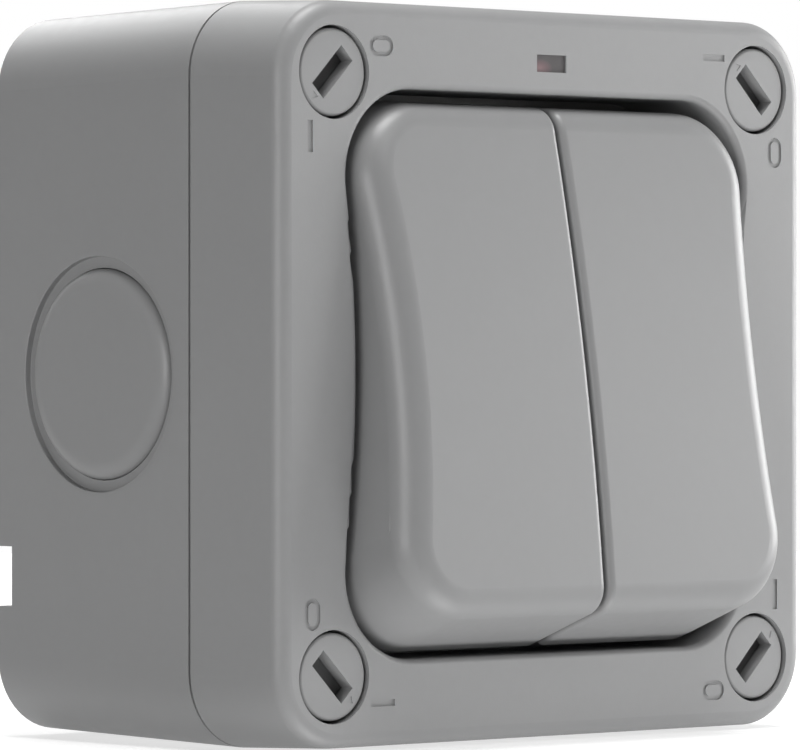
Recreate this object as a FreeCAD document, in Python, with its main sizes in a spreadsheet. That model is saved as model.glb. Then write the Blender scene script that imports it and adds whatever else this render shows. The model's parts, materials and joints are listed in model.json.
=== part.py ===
import FreeCAD, Part
import math
import os
import re
import Sketcher

# Surface mounted light switch with two rockers, for outdoor walls.
# Millimetres and degrees. The wall is the plane Y = 0, the front faces -Y and Z is up.
# A depth is counted from the wall to the front, so a depth of 57 is the plane Y = -57.

DRIVING_SIZES = [
    ("box_width", "97", "widest outline, at the seam"),
    ("box_draft", "0.75", "narrower at the wall, on each side"),
    ("cover_draft", "0.6", "narrower at the cover's face, on each side"),
    ("box_depth", "40", "wall to seam"),
    ("cover_depth", "17", "seam to face"),
    ("outline_radius", "10", "corners of the outline"),
    ("box_wall", "3", "side walls of the box"),
    ("cover_wall", "2.6", "side walls of the cover"),
    ("cover_plate", "2.6", "front wall of the cover"),
    ("seam_gap", "0.4", "shadow line between box and cover"),
    ("face_edge_radius", "2", "round edge of the face"),
    ("rear_recess", "3", "hollow behind the base"),
    ("base_thickness", "2.5", "rear wall of the box"),
    ("rear_rib", "1.6", "ribs in the rear hollow"),
    ("notch_height", "8", "notch in each side rim"),
    ("notch_drop", "27", "notch below the middle"),
    ("notch_depth", "2.9", "notch from the wall"),
    ("fixing_pitch", "60", "between the fixing holes"),
    ("fixing_radius", "2.5", "fixing holes"),
    ("fixing_boss_radius", "5", "raised collars round the fixing holes"),
    ("fixing_boss_height", "1.5", "the same"),
    ("gasket_inset", "0.9", "outer side of the gasket groove from the outline"),
    ("gasket_width", "1.3", "gasket groove"),
    ("gasket_sink", "1.2", "depth of the gasket groove"),
    ("entry_depth", "21.3", "middle of the side entries from the wall"),
    ("entry_recess_radius", "16", "recess round each plug"),
    ("entry_recess_depth", "3.7", "the same"),
    ("entry_boss_radius", "18.2", "thick wall round each entry"),
    ("entry_boss_height", "6.5", "the same, from the widest outline inwards"),
    ("entry_bore_radius", "10.2", "entry for a conduit or a gland"),
    ("plug_head_radius", "14.4", "head of the blanking plug"),
    ("plug_head_thickness", "2.8", "the same"),
    ("plug_edge_radius", "2.4", "round edge of the head"),
    ("plug_clearance", "0.1", "plug in its entry"),
    ("plug_wall", "2", "skirt of the plug"),
    ("plug_lip", "0.6", "snap lip behind the wall"),
    ("plug_seal_thickness", "0.8", "flat ring under the head"),
    ("plug_seal_width", "2.4", "the same"),
    ("fastener_inset", "9.8", "corner fasteners from the widest outline"),
    ("fastener_hole_radius", "6.05", "hole in the face"),
    ("fastener_head_radius", "5.65", "head in the hole"),
    ("fastener_head_thickness", "3", "the same"),
    ("fastener_edge_radius", "0.4", "edge of the head"),
    ("fastener_sink", "0.7", "head below the face"),
    ("fastener_shank_radius", "3", "shank through the cover"),
    ("fastener_boss_radius", "7.9", "tube in the cover and pillar in the box"),
    ("fastener_slot_length", "7.1", "slot in the head"),
    ("fastener_slot_width", "2.75", "the same"),
    ("fastener_slot_depth", "2.1", "the same"),
    ("running_fit", "0.05", "round a shaft that turns"),
    ("seated_fit", "0.02", "round a pin that is held"),
    ("seal_thickness", "0.8", "ring under the fastener head"),
    ("seal_radius", "5.2", "the same"),
    ("cam_reach", "5.2", "locking cam on the shank"),
    ("cam_width", "2.2", "the same"),
    ("cam_thickness", "2.5", "the same"),
    ("cam_clearance", "0.12", "cam under its ledge"),
    ("ledge_thickness", "3", "top of the pillar, over the cam"),
    ("chamber_radius", "5.7", "room for the cam"),
    ("chamber_depth", "4.4", "the same"),
    ("keyway_clearance", "0.35", "cam in its keyway"),
    ("well_height", "73.8", "well for the rockers"),
    ("well_waist_width", "69.2", "the same, at its waist"),
    ("well_bow_radius", "170", "bowed sides of the well"),
    ("well_corner_radius", "11.5", "corners of the well"),
    ("well_wall", "1.6", "wall round the well"),
    ("well_rim_radius", "0.8", "round rim of the well"),
    ("floor_thickness", "2", "floor of the well"),
    ("pivot_sink", "8.7", "rocker axis behind the face"),
    ("gang_pitch", "35.8", "between the middles of the two gangs"),
    ("rocker_gap", "0.55", "between the rockers"),
    ("rocker_clearance", "1.3", "rocker to the side of the well"),
    ("rocker_swing_length", "72.8", "rocker at its open edge"),
    ("rocker_taper", "12.5", "slope of its end walls"),
    ("rocker_corner_radius", "10.2", "outer corners of the rocker"),
    ("rocker_edge_radius", "4", "round edge of its face"),
    ("rocker_inner_edge", "1.1", "edge beside the other rocker"),
    ("rocker_shell", "2", "wall of the rocker"),
    ("rocker_ceiling", "12", "its inner face above the axis"),
    ("crown_height", "16", "middle of its face above the axis"),
    ("crown_radius", "450", "crowned face"),
    ("rocker_tilt", "8.8", "either side of the middle"),
    ("pin_radius", "1.5", "pivot pin"),
    ("pin_length", "18.4", "the same"),
    ("lug_inner", "3.9", "inner side of the rocker's lugs from the gang's middle"),
    ("lug_thickness", "2", "rocker's lugs"),
    ("lug_radius", "4", "the same, round the pin"),
    ("post_inner", "6.3", "inner side of the floor's posts"),
    ("post_thickness", "3", "the same"),
    ("post_radius", "3.5", "the same, round the pin"),
    ("post_flare", "1", "the same, wider at the foot on each side"),
    ("stem_width", "7", "dolly stem"),
    ("stem_end", "14.5", "its end behind the axis"),
    ("tab_width", "4", "dolly tab in the rocker"),
    ("tab_clearance", "0.1", "the same, in its socket"),
    ("socket_rib", "2", "ribs of the socket"),
    ("socket_depth", "5.5", "the same"),
    ("shoulder_front", "5", "where the tab widens to the stem"),
    ("shoulder_back", "3.5", "the same"),
    ("opening_length", "11.4", "hole in the floor for the stem"),
    ("opening_width", "8", "the same"),
    ("plunger_radius", "2", "plunger in the dolly"),
    ("plunger_back", "9.5", "its inner end behind the axis"),
    ("plunger_tip", "16.4", "its tip behind the axis"),
    ("plunger_tip_radius", "2.2", "round tip"),
    ("plunger_dome", "1.2", "height of the round tip"),
    ("spring_seat", "5.2", "bottom of the plunger's bore"),
    ("spring_wire", "0.4", "plunger spring"),
    ("spring_radius", "1.5", "the same, middle of the wire"),
    ("spring_pitch", "0.95", "the same"),
    ("spring_length", "3.1", "the same"),
    ("seesaw_depth", "17.6", "axis of the moving contact behind the rocker's"),
    ("seesaw_thickness", "1", "moving contact strip"),
    ("seesaw_width", "5", "the same"),
    ("seesaw_length", "22", "the same"),
    ("seesaw_bead", "1", "round bead that it rocks on"),
    ("seesaw_tilt", "6", "either side of the middle"),
    ("tip_radius", "1.5", "contact tips"),
    ("tip_height", "0.6", "the same"),
    ("tip_reach", "9", "from the axis"),
    ("fixed_contact_depth", "19.4", "face of the fixed contacts"),
    ("blade_thickness", "1", "blades of the terminals"),
    ("saddle_depth", "17.9", "front of the saddle"),
    ("saddle_height", "4", "the same, along Z"),
    ("seal_plate_thickness", "1.2", "rubber plate behind the floor"),
    ("seal_plate_width", "12", "the same"),
    ("seal_plate_length", "17", "the same"),
    ("module_width", "28", "switch module"),
    ("module_height", "46", "the same"),
    ("module_depth", "20", "the same"),
    ("cavity_width", "11", "room for the moving contact"),
    ("cavity_height", "25", "the same"),
    ("cavity_depth", "15.5", "the same"),
    ("flange_length", "5", "screwed ends of the module"),
    ("flange_width", "8", "the same"),
    ("flange_thickness", "2", "the same"),
    ("module_screw_radius", "1.45", "shank of the module screws"),
    ("module_screw_head", "2.3", "head of the module screws"),
    ("module_screw_head_height", "1.6", "the same"),
    ("module_screw_reach", "2.3", "thread in the cover"),
    ("screw_slot_width", "0.7", "driving slot"),
    ("screw_slot_depth", "0.8", "the same"),
    ("clamp_width", "6.4", "terminal block"),
    ("clamp_height", "6.4", "the same"),
    ("clamp_length", "8", "the same, along Y"),
    ("clamp_clearance", "0.3", "block in its chamber"),
    ("clamp_offset", "18.6", "end blocks from the gang's middle"),
    ("common_offset", "10", "common block from the gang's middle"),
    ("wire_radius", "1.7", "wire hole"),
    ("wire_depth", "3.2", "the same, from the block's front"),
    ("clamp_screw_radius", "1.5", "clamping screw"),
    ("clamp_screw_head", "2.3", "the same"),
    ("clamp_screw_head_height", "1.5", "the same"),
    ("clamp_screw_length", "3", "the same, in the block"),
    ("window_width", "5.4", "indicator window"),
    ("window_height", "2.3", "the same"),
    ("window_rise", "41", "above the middle"),
    ("window_sink", "0.3", "below the face"),
    ("lens_flange", "0.9", "flange round the lens"),
    ("lens_flange_thickness", "1.1", "the same"),
    ("lamp_radius", "1.9", "neon lamp"),
    ("lamp_length", "9", "the same"),
    ("lamp_rise", "41.45", "above the middle"),
    ("holder_wall", "0.6", "lamp holder"),
    ("holder_length", "11", "the same"),
    ("resistor_radius", "1.1", "series resistor"),
    ("resistor_offset", "4.4", "beside the lamp"),
    ("resistor_length", "6.5", "the same"),
    ("earth_size", "8", "earth block on the base"),
    ("earth_wire_rise", "2.7", "its wire hole above the base"),
]

doc = FreeCAD.newDocument("surface_switch")
sizes = doc.addObject("Spreadsheet::Sheet", "Sizes")
for row, (alias, amount, meaning) in enumerate(DRIVING_SIZES, start=1):
    sizes.set(f"A{row}", alias)
    sizes.set(f"B{row}", amount)
    sizes.set(f"C{row}", meaning)
    sizes.setAlias(f"B{row}", alias)
doc.recompute()

# Depths and places that follow from the driving sizes
FACE = "(box_depth + cover_depth)"
BOX_RIM = "(box_depth - seam_gap / 2)"
COVER_RIM = "(box_depth + seam_gap / 2)"
BASE_FRONT = "(rear_recess + base_thickness)"
PLATE_BACK = f"({FACE} - cover_plate)"
FLOOR_BACK = "box_depth"
FLOOR_FRONT = "(box_depth + floor_thickness)"
PIVOT = f"({FACE} - pivot_sink)"
MODULE_FRONT = f"({PIVOT} - {FLOOR_BACK} + seal_plate_thickness)"
MODULE_BACK = f"({MODULE_FRONT} + module_depth)"
REAR_HALF = "(box_width / 2 - box_draft)"
FACE_HALF = "(box_width / 2 - cover_draft)"
CORNER = "(box_width / 2 - fastener_inset)"
LEDGE_BACK = f"({BOX_RIM} - ledge_thickness)"
COMMON_BLADE = f"({MODULE_FRONT} + cavity_depth - blade_thickness - seated_fit)"
SIDES = {"left": -1, "right": 1}
CORNERS = {"top_left": (-1, 1), "top_right": (1, 1), "bottom_left": (-1, -1), "bottom_right": (1, -1)}

# Turn of each fastener when locked, from +X towards +Z
LOCKED_TURNS = {"top_left": "225", "top_right": "135", "bottom_left": "315", "bottom_right": "45"}

# A cut starts or ends this far outside the material
MARGIN = "1"

ROOT = -1
START, END, CENTRE = 1, 2, 3
HALF_TURN = "half turn"
UP = FreeCAD.Vector(0, 0, 1)
parts = []


def bound(formula):
    """A formula in the sheet's words, in the form that other objects can hold."""
    return re.sub(r"\b[a-z]+(?:_[a-z]+)+\b", lambda word: "Sizes." + word.group(0), formula)


def value(formula):
    """The formula's present value."""
    return float(sizes.evalExpression(bound(formula)))


def new_body(label, x="0", depth="0", z="0", axis=None, turn="0"):
    """An empty body whose place, and turn about an axis, follow the sheet."""
    body = doc.addObject("PartDesign::Body", label)
    body.Label = label
    if axis:
        body.Placement = FreeCAD.Placement(FreeCAD.Vector(), FreeCAD.Rotation(FreeCAD.Vector(*axis), value(turn)))
        body.setExpression("Placement.Rotation.Angle", bound(turn))
    for name, formula in (("x", x), ("y", f"-({depth})"), ("z", z)):
        body.setExpression(f"Placement.Base.{name}", bound(formula))
    parts.append(body)
    return body


def new_sketch(body, name, plane="XZ_Plane", lift="0"):
    """A sketch on one of the body's own planes; on XZ_Plane the lift runs to the front."""
    sketch = body.newObject("Sketcher::SketchObject", f"{body.Name}_{name}")
    support = next(item for item in body.Origin.OriginFeatures if item.Role == plane)
    sketch.AttachmentSupport = (support, [""])
    sketch.MapMode = "FlatFace"
    sketch.setExpression("AttachmentOffset.Base.z", bound(lift))
    return sketch


def dimension(sketch, kind, elements, formula):
    index = sketch.addConstraint(Sketcher.Constraint(kind, *elements, value(formula)))
    sketch.setExpression(f"Constraints[{index}]", bound(formula))


def place(sketch, geometry, point, x, y):
    dimension(sketch, "DistanceX", (ROOT, START, geometry, point), x)
    dimension(sketch, "DistanceY", (ROOT, START, geometry, point), y)


def circle(sketch, radius, x="0", y="0"):
    centre = FreeCAD.Vector(value(x), value(y), 0)
    index = sketch.addGeometry(Part.Circle(centre, UP, value(radius)), False)
    dimension(sketch, "Radius", (index,), radius)
    place(sketch, index, CENTRE, x, y)


def arc_between(here, there, radius, turn):
    """The short arc from here to there; a turn of 1 runs counter-clockwise, -1 clockwise."""
    chord = there - here
    reach = math.sqrt(max(radius ** 2 - (chord.Length / 2) ** 2, 0))
    aside = FreeCAD.Vector(-chord.y, chord.x, 0).normalize() * (reach * turn)
    centre = (here + there) * 0.5 + aside
    first, last = (here, there) if turn > 0 else (there, here)
    low = math.atan2(first.y - centre.y, first.x - centre.x)
    high = math.atan2(last.y - centre.y, last.x - centre.x)
    if high < low:
        high += 2 * math.pi
    return Part.ArcOfCircle(Part.Circle(centre, UP, radius), low, high)


def outline(sketch, corners):
    """A closed outline. A corner is (x, y), or (x, y, radius, turn) where an arc leads to the next corner.

    A radius of HALF_TURN is a half circle to a next corner at the same x.
    """
    spots = [FreeCAD.Vector(value(corner[0]), value(corner[1]), 0) for corner in corners]
    edges = []
    for index, corner in enumerate(corners):
        here = spots[index]
        there = spots[(index + 1) % len(spots)]
        begin, finish = START, END
        if len(corner) == 4:
            radius, turn = corner[2:]
            length = here.distanceToPoint(there) / 2 if radius == HALF_TURN else value(radius)
            edge = sketch.addGeometry(arc_between(here, there, length, turn), False)
            if turn < 0:
                begin, finish = END, START
        else:
            edge = sketch.addGeometry(Part.LineSegment(here, there), False)
        edges.append((edge, begin, finish))
    for index, (edge, begin, finish) in enumerate(edges):
        following, next_begin, _ = edges[(index + 1) % len(edges)]
        sketch.addConstraint(Sketcher.Constraint("Coincident", edge, finish, following, next_begin))
    for (edge, begin, _), corner in zip(edges, corners):
        place(sketch, edge, begin, corner[0], corner[1])
        if len(corner) == 4 and corner[2] == HALF_TURN:
            dimension(sketch, "DistanceX", (ROOT, START, edge, CENTRE), corner[0])
        elif len(corner) == 4:
            dimension(sketch, "Radius", (edge,), corner[2])


def rectangle(sketch, half_x, half_y, x="0", y="0"):
    outline(sketch, [
        (f"{x} - ({half_x})", f"{y} - ({half_y})"),
        (f"{x} + ({half_x})", f"{y} - ({half_y})"),
        (f"{x} + ({half_x})", f"{y} + ({half_y})"),
        (f"{x} - ({half_x})", f"{y} + ({half_y})"),
    ])


def rounded_square(sketch, half, radius):
    flat = f"({half} - ({radius}))"
    outline(sketch, [
        (f"-{flat}", f"-({half})"),
        (flat, f"-({half})", radius, 1),
        (half, f"-{flat}"),
        (half, flat, radius, 1),
        (flat, half),
        (f"-{flat}", half, radius, 1),
        (f"-({half})", flat),
        (f"-({half})", f"-{flat}", radius, 1),
    ])


def bowed_corner(waist, bow, radius, half_height):
    """Where a corner arc starts on the end line and where it runs into the bowed side, in formulas."""
    middle = f"({waist} + {bow})"
    rise = f"({half_height} - ({radius}))"
    centre = f"({middle} - sqrt(({bow} + {radius}) ^ 2 - {rise} ^ 2))"
    meet_x = f"({centre} + ({radius}) * ({middle} - {centre}) / ({bow} + {radius}))"
    meet_y = f"({rise} * ({bow}) / ({bow} + {radius}))"
    return centre, meet_x, meet_y


def waisted_panel(sketch, waist, bow, radius, half_height):
    """Outline of the well and of the rocker pair: straight ends, sides that bow inwards."""
    start, meet_x, meet_y = bowed_corner(waist, bow, radius, half_height)
    outline(sketch, [
        (f"-{start}", f"-({half_height})"),
        (start, f"-({half_height})", radius, 1),
        (meet_x, f"-{meet_y}", bow, -1),
        (meet_x, meet_y, radius, 1),
        (start, half_height),
        (f"-{start}", half_height, radius, 1),
        (f"-{meet_x}", meet_y, bow, -1),
        (f"-{meet_x}", f"-{meet_y}", radius, 1),
    ])


def half_panel(sketch, side, inner, waist, bow, radius, half_height):
    """One half of that outline, from the straight side at inner to the bowed side."""
    start, meet_x, meet_y = bowed_corner(waist, bow, radius, half_height)
    outline(sketch, [
        (f"{side} * {inner}", f"-({half_height})"),
        (f"{side} * {start}", f"-({half_height})", radius, side),
        (f"{side} * {meet_x}", f"-{meet_y}", bow, -side),
        (f"{side} * {meet_x}", meet_y, radius, side),
        (f"{side} * {start}", half_height),
        (f"{side} * {inner}", half_height),
    ])


def pad(body, sketch, length, back=False, symmetric=False):
    """Material from the sketch along its normal, which on XZ_Plane runs to the front."""
    feature = body.newObject("PartDesign::Pad", f"{sketch.Name}_pad")
    feature.Profile = sketch
    feature.setExpression("Length", bound(length))
    feature.Reversed = back
    if symmetric:
        feature.SideType = "Symmetric"
    return feature


def pocket(body, sketch, depth, front=False, symmetric=False):
    """A cut against the sketch's normal, which on XZ_Plane runs to the wall."""
    feature = body.newObject("PartDesign::Pocket", f"{sketch.Name}_pocket")
    feature.Profile = sketch
    feature.setExpression("Length", bound(depth))
    feature.Reversed = front
    if symmetric:
        feature.SideType = "Symmetric"
    return feature


def loft(body, lower, upper, kind="AdditiveLoft"):
    feature = body.newObject(f"PartDesign::{kind}", f"{lower.Name}_loft")
    feature.Profile = lower
    feature.Sections = [upper]
    feature.Ruled = True
    return feature


def revolve(body, sketch):
    """A full turn about the sketch's horizontal axis."""
    feature = body.newObject("PartDesign::Revolution", f"{sketch.Name}_turned")
    feature.Profile = sketch
    feature.ReferenceAxis = (sketch, ["H_Axis"])
    feature.Angle = 360
    return feature


def round_edges(body, radius, wanted):
    """Fillet on the edges of the body's last feature that the test picks."""
    doc.recompute()
    base = body.Tip
    names = [f"Edge{n}" for n, edge in enumerate(base.Shape.Edges, start=1) if wanted(edge)]
    feature = body.newObject("PartDesign::Fillet", f"{base.Name}_round")
    feature.Base = (base, names)
    feature.setExpression("Radius", bound(radius))
    return feature


def lies_at_depth(edge, depth):
    """True where the whole edge lies in the plane at this depth."""
    box = edge.BoundBox
    return abs(box.YMin + depth) < 0.01 and abs(box.YMax + depth) < 0.01


def inside_square(edge, half):
    box = edge.BoundBox
    return max(-box.XMin, box.XMax, -box.ZMin, box.ZMax) < half


def round_bar(label, radius, length, x, depth, z, axis=(1, 0, 0), turn=-90):
    """A plain cylinder; as set here its length runs to the wall from the given depth."""
    bar = doc.addObject("Part::Cylinder", label)
    bar.Label = label
    bar.Placement = FreeCAD.Placement(FreeCAD.Vector(), FreeCAD.Rotation(FreeCAD.Vector(*axis), turn))
    bar.setExpression("Radius", bound(radius))
    bar.setExpression("Height", bound(length))
    for name, formula in (("x", x), ("y", f"-({depth})"), ("z", z)):
        bar.setExpression(f"Placement.Base.{name}", bound(formula))
    return bar


def group(label, members):
    """Separate equal pieces that share one node."""
    together = doc.addObject("Part::Compound", label)
    together.Label = label
    together.Links = members
    parts.append(together)
    return together


# Back box
# Drafted, widest at the seam. Behind its base is a shallow hollow with a rim, ribs and side notches.

def box_half(depth):
    """Half the box's outline at a depth, from the wall to the seam."""
    return f"({REAR_HALF} + box_draft * {depth} / {BOX_RIM})"


ENTRY_FACE = box_half("entry_depth")


def make_back_box():
    box = new_body("back_box")
    rear = new_sketch(box, "rear_outline")
    rounded_square(rear, REAR_HALF, "outline_radius")
    rim = new_sketch(box, "rim_outline", lift=BOX_RIM)
    rounded_square(rim, "box_width / 2", "outline_radius")
    loft(box, rear, rim)

    room_back = new_sketch(box, "room_back", lift=BASE_FRONT)
    rounded_square(room_back, f"({box_half(BASE_FRONT)} - box_wall)", "(outline_radius - box_wall)")
    room_mouth = new_sketch(box, "room_mouth", lift=BOX_RIM)
    rounded_square(room_mouth, "(box_width / 2 - box_wall)", "(outline_radius - box_wall)")
    loft(box, room_back, room_mouth, "SubtractiveLoft")
    hollow = new_sketch(box, "hollow")
    rounded_square(hollow, f"({REAR_HALF} - box_wall)", "(outline_radius - box_wall)")
    pocket(box, hollow, "rear_recess", front=True)
    rib_reach = f"({REAR_HALF} - box_wall / 2)"
    for name, half_x, half_z in (("rib_across", rib_reach, "rear_rib / 2"), ("rib_up", "rear_rib / 2", rib_reach)):
        rib = new_sketch(box, name)
        rectangle(rib, half_x, half_z)
        pad(box, rib, "rear_recess")

    for name, side in SIDES.items():
        notch = new_sketch(box, f"notch_{name}", "YZ_Plane", f"{side} * {REAR_HALF}")
        rectangle(notch, "notch_depth", "notch_height / 2", y="-notch_drop")
        pocket(box, notch, f"2 * (box_wall + {MARGIN})", symmetric=True)

    add_pillars(box)
    add_entries(box)
    add_fixings(box)

    groove = new_sketch(box, "gasket_groove", lift=BOX_RIM)
    add_gasket_outline(groove)
    pocket(box, groove, "gasket_sink")
    return box


def add_gasket_outline(sketch):
    outer = "(box_width / 2 - gasket_inset)"
    inner = "(box_width / 2 - gasket_inset - gasket_width)"
    rounded_square(sketch, outer, "(outline_radius - gasket_inset)")
    rounded_square(sketch, inner, "(outline_radius - gasket_inset - gasket_width)")


def add_pillars(box):
    """Corner pillars with a keyhole and, under its ledge, the room in which the cam turns."""
    pillars = new_sketch(box, "pillars", lift=BASE_FRONT)
    chambers = new_sketch(box, "chambers", lift=LEDGE_BACK)
    bores = new_sketch(box, "keyholes", lift=BOX_RIM)
    for across, up in CORNERS.values():
        x = f"{across} * {CORNER}"
        z = f"{up} * {CORNER}"
        circle(pillars, "fastener_boss_radius", x, z)
        circle(chambers, "chamber_radius", x, z)
        circle(bores, "(fastener_shank_radius + keyway_clearance)", x, z)
    pad(box, pillars, f"{BOX_RIM} - {BASE_FRONT}")
    pocket(box, chambers, "chamber_depth")
    pocket(box, bores, "ledge_thickness")
    for name, (across, up) in CORNERS.items():
        keyway = new_sketch(box, f"keyway_{name}", lift=BOX_RIM)
        outline(keyway, keyway_outline(across, up))
        pocket(box, keyway, "ledge_thickness")


def keyway_outline(across, up):
    """A slot from the hole's middle, opposite to where the locked cam points."""
    half = "(cam_width / 2 + keyway_clearance) * cos(45)"
    reach = "(cam_reach + keyway_clearance) * cos(45)"
    x = f"{across} * {CORNER}"
    z = f"{up} * {CORNER}"
    along = (up, -across)
    aside = (-along[1], along[0])
    return [
        (f"{x} + {aside[0]} * {half}", f"{z} + {aside[1]} * {half}"),
        (f"{x} - {aside[0]} * {half}", f"{z} - {aside[1]} * {half}"),
        (f"{x} + {along[0]} * {reach} - {aside[0]} * {half}", f"{z} + {along[1]} * {reach} - {aside[1]} * {half}"),
        (f"{x} + {along[0]} * {reach} + {aside[0]} * {half}", f"{z} + {along[1]} * {reach} + {aside[1]} * {half}"),
    ]


def add_entries(box):
    """Four side entries: an inner boss, a round recess outside and a bore through both."""
    walls = {
        "right": ("YZ_Plane", 1), "left": ("YZ_Plane", -1),
        "top": ("XY_Plane", 1), "bottom": ("XY_Plane", -1),
    }
    for name, (plane, way) in walls.items():
        spot = ("-entry_depth", "0") if plane == "YZ_Plane" else ("0", "-entry_depth")
        boss = new_sketch(box, f"boss_{name}", plane, f"{way} * ({ENTRY_FACE} - entry_boss_height)")
        circle(boss, "entry_boss_radius", *spot)
        pad(box, boss, "entry_boss_height - box_wall / 2", back=way < 0)
        outer = f"{way} * ({ENTRY_FACE} + {MARGIN})"
        recess = new_sketch(box, f"recess_{name}", plane, outer)
        circle(recess, "entry_recess_radius", *spot)
        pocket(box, recess, f"entry_recess_depth + {MARGIN}", front=way < 0)
        bore = new_sketch(box, f"entry_{name}", plane, outer)
        circle(bore, "entry_bore_radius", *spot)
        pocket(box, bore, f"entry_boss_height + 2 * {MARGIN}", front=way < 0)


def add_fixings(box):
    """Four screw holes through the base, with collars inside."""
    collars = new_sketch(box, "fixing_collars", lift="rear_recess")
    holes = new_sketch(box, "fixing_holes", lift=f"{BASE_FRONT} + fixing_boss_height")
    for across, up in CORNERS.values():
        circle(collars, "fixing_boss_radius", f"{across} * fixing_pitch / 2", f"{up} * fixing_pitch / 2")
        circle(holes, "fixing_radius", f"{across} * fixing_pitch / 2", f"{up} * fixing_pitch / 2")
    pad(box, collars, "base_thickness + fixing_boss_height")
    pocket(box, holes, "base_thickness + fixing_boss_height")


# Front cover
# A drafted cap with the waisted well. The well's floor carries the pivot posts and, behind, the modules.

def cover_half(depth):
    """Half the cover's outline at a depth, from the seam to the face."""
    return f"(box_width / 2 - cover_draft * ({depth} - {COVER_RIM}) / ({FACE} - {COVER_RIM}))"


def make_front_cover():
    cover = new_body("front_cover")
    rim = new_sketch(cover, "rim_outline", lift=COVER_RIM)
    rounded_square(rim, "box_width / 2", "outline_radius")
    face = new_sketch(cover, "face_outline", lift=FACE)
    rounded_square(face, FACE_HALF, "outline_radius")
    loft(cover, rim, face)
    round_edges(cover, "face_edge_radius", lambda edge: lies_at_depth(edge, value(FACE)))

    room_mouth = new_sketch(cover, "room_mouth", lift=COVER_RIM)
    rounded_square(room_mouth, "(box_width / 2 - cover_wall)", "(outline_radius - cover_wall)")
    room_top = new_sketch(cover, "room_top", lift=PLATE_BACK)
    rounded_square(room_top, f"({cover_half(PLATE_BACK)} - cover_wall)", "(outline_radius - cover_wall)")
    loft(cover, room_mouth, room_top, "SubtractiveLoft")
    tub = new_sketch(cover, "tub", lift=FLOOR_BACK)
    waisted_panel(tub, "(well_waist_width / 2 + well_wall)", "(well_bow_radius - well_wall)",
                  "(well_corner_radius + well_wall)", "(well_height / 2 + well_wall)")
    pad(cover, tub, f"{FACE} - {FLOOR_BACK} - cover_plate / 2")
    tubes = new_sketch(cover, "fastener_tubes", lift=COVER_RIM)
    for across, up in CORNERS.values():
        circle(tubes, "fastener_boss_radius", f"{across} * {CORNER}", f"{up} * {CORNER}")
    pad(cover, tubes, f"{FACE} - {COVER_RIM} - cover_plate / 2")
    well = new_sketch(cover, "well", lift=FACE)
    waisted_panel(well, "well_waist_width / 2", "well_bow_radius", "well_corner_radius", "well_height / 2")
    pocket(cover, well, f"{FACE} - {FLOOR_FRONT}")
    round_edges(cover, "well_rim_radius", lambda edge: (
        lies_at_depth(edge, value(FACE)) and inside_square(edge, value("well_height / 2 + well_wall"))))

    add_fastener_holes(cover)
    add_pivot_posts(cover)
    add_module_seats(cover)
    window = new_sketch(cover, "window", lift=FACE)
    rectangle(window, "window_width / 2", "window_height / 2", y="window_rise")
    pocket(cover, window, f"cover_plate + {MARGIN}")
    return cover


def add_fastener_holes(cover):
    """Stepped holes: the head's counterbore, the seal's seat and the shank's bore."""
    steps = [
        ("head", "fastener_hole_radius", "fastener_sink + fastener_head_thickness + running_fit"),
        ("seal", "(seal_radius + plug_clearance)", "fastener_sink + fastener_head_thickness + seal_thickness"),
        ("shank", "(fastener_shank_radius + running_fit)", f"{FACE} - {BOX_RIM}"),
    ]
    for name, radius, depth in steps:
        holes = new_sketch(cover, f"{name}_holes", lift=FACE)
        for across, up in CORNERS.values():
            circle(holes, radius, f"{across} * {CORNER}", f"{up} * {CORNER}")
        pocket(cover, holes, depth)


def add_pivot_posts(cover):
    """Two posts for each rocker, with the pin's bore through both."""
    for side_name, side in SIDES.items():
        for post_name, way in SIDES.items():
            middle = f"{side} * gang_pitch / 2 + {way} * (post_inner + post_thickness / 2)"
            post = new_sketch(cover, f"post_{side_name}_{post_name}", "YZ_Plane", middle)
            outline(post, [
                (f"-({FLOOR_FRONT} - floor_thickness / 2)", "-(post_radius + post_flare)"),
                (f"-({FLOOR_FRONT} - floor_thickness / 2)", "post_radius + post_flare"),
                (f"-{PIVOT}", "post_radius", HALF_TURN, 1),
                (f"-{PIVOT}", "-post_radius"),
            ])
            pad(cover, post, "post_thickness", symmetric=True)
        bore = new_sketch(cover, f"pin_bore_{side_name}", "YZ_Plane", f"{side} * gang_pitch / 2")
        circle(bore, "(pin_radius + running_fit)", f"-{PIVOT}", "0")
        pocket(cover, bore, "pin_length + post_thickness", symmetric=True)


def add_module_seats(cover):
    """Holes for the stems, and short bosses behind the floor for the module screws."""
    openings = new_sketch(cover, "stem_openings", lift=FLOOR_FRONT)
    bosses = new_sketch(cover, "module_bosses", lift=f"{FLOOR_BACK} - seal_plate_thickness")
    threads = new_sketch(cover, "module_threads", lift=f"{FLOOR_BACK} - seal_plate_thickness")
    for side in SIDES.values():
        x = f"{side} * gang_pitch / 2"
        rectangle(openings, "opening_width / 2", "opening_length / 2", x=x)
        for way in (1, -1):
            z = f"{way} * (module_height / 2 + flange_length / 2)"
            circle(bosses, "flange_width / 2", x, z)
            circle(threads, "(module_screw_radius + seated_fit)", x, z)
    pocket(cover, openings, f"floor_thickness + {MARGIN}")
    pad(cover, bosses, "seal_plate_thickness + floor_thickness / 2")
    pocket(cover, threads, "module_screw_reach + running_fit", front=True)


def make_gasket():
    gasket = new_body("cover_gasket")
    ring = new_sketch(gasket, "ring", lift=f"{BOX_RIM} - gasket_sink")
    add_gasket_outline(ring)
    pad(gasket, ring, "gasket_sink + seam_gap")


# Corner fasteners
# Each one turns half a turn. Along its own +X are the pointer's end of the slot and, when locked, the cam.

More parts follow.
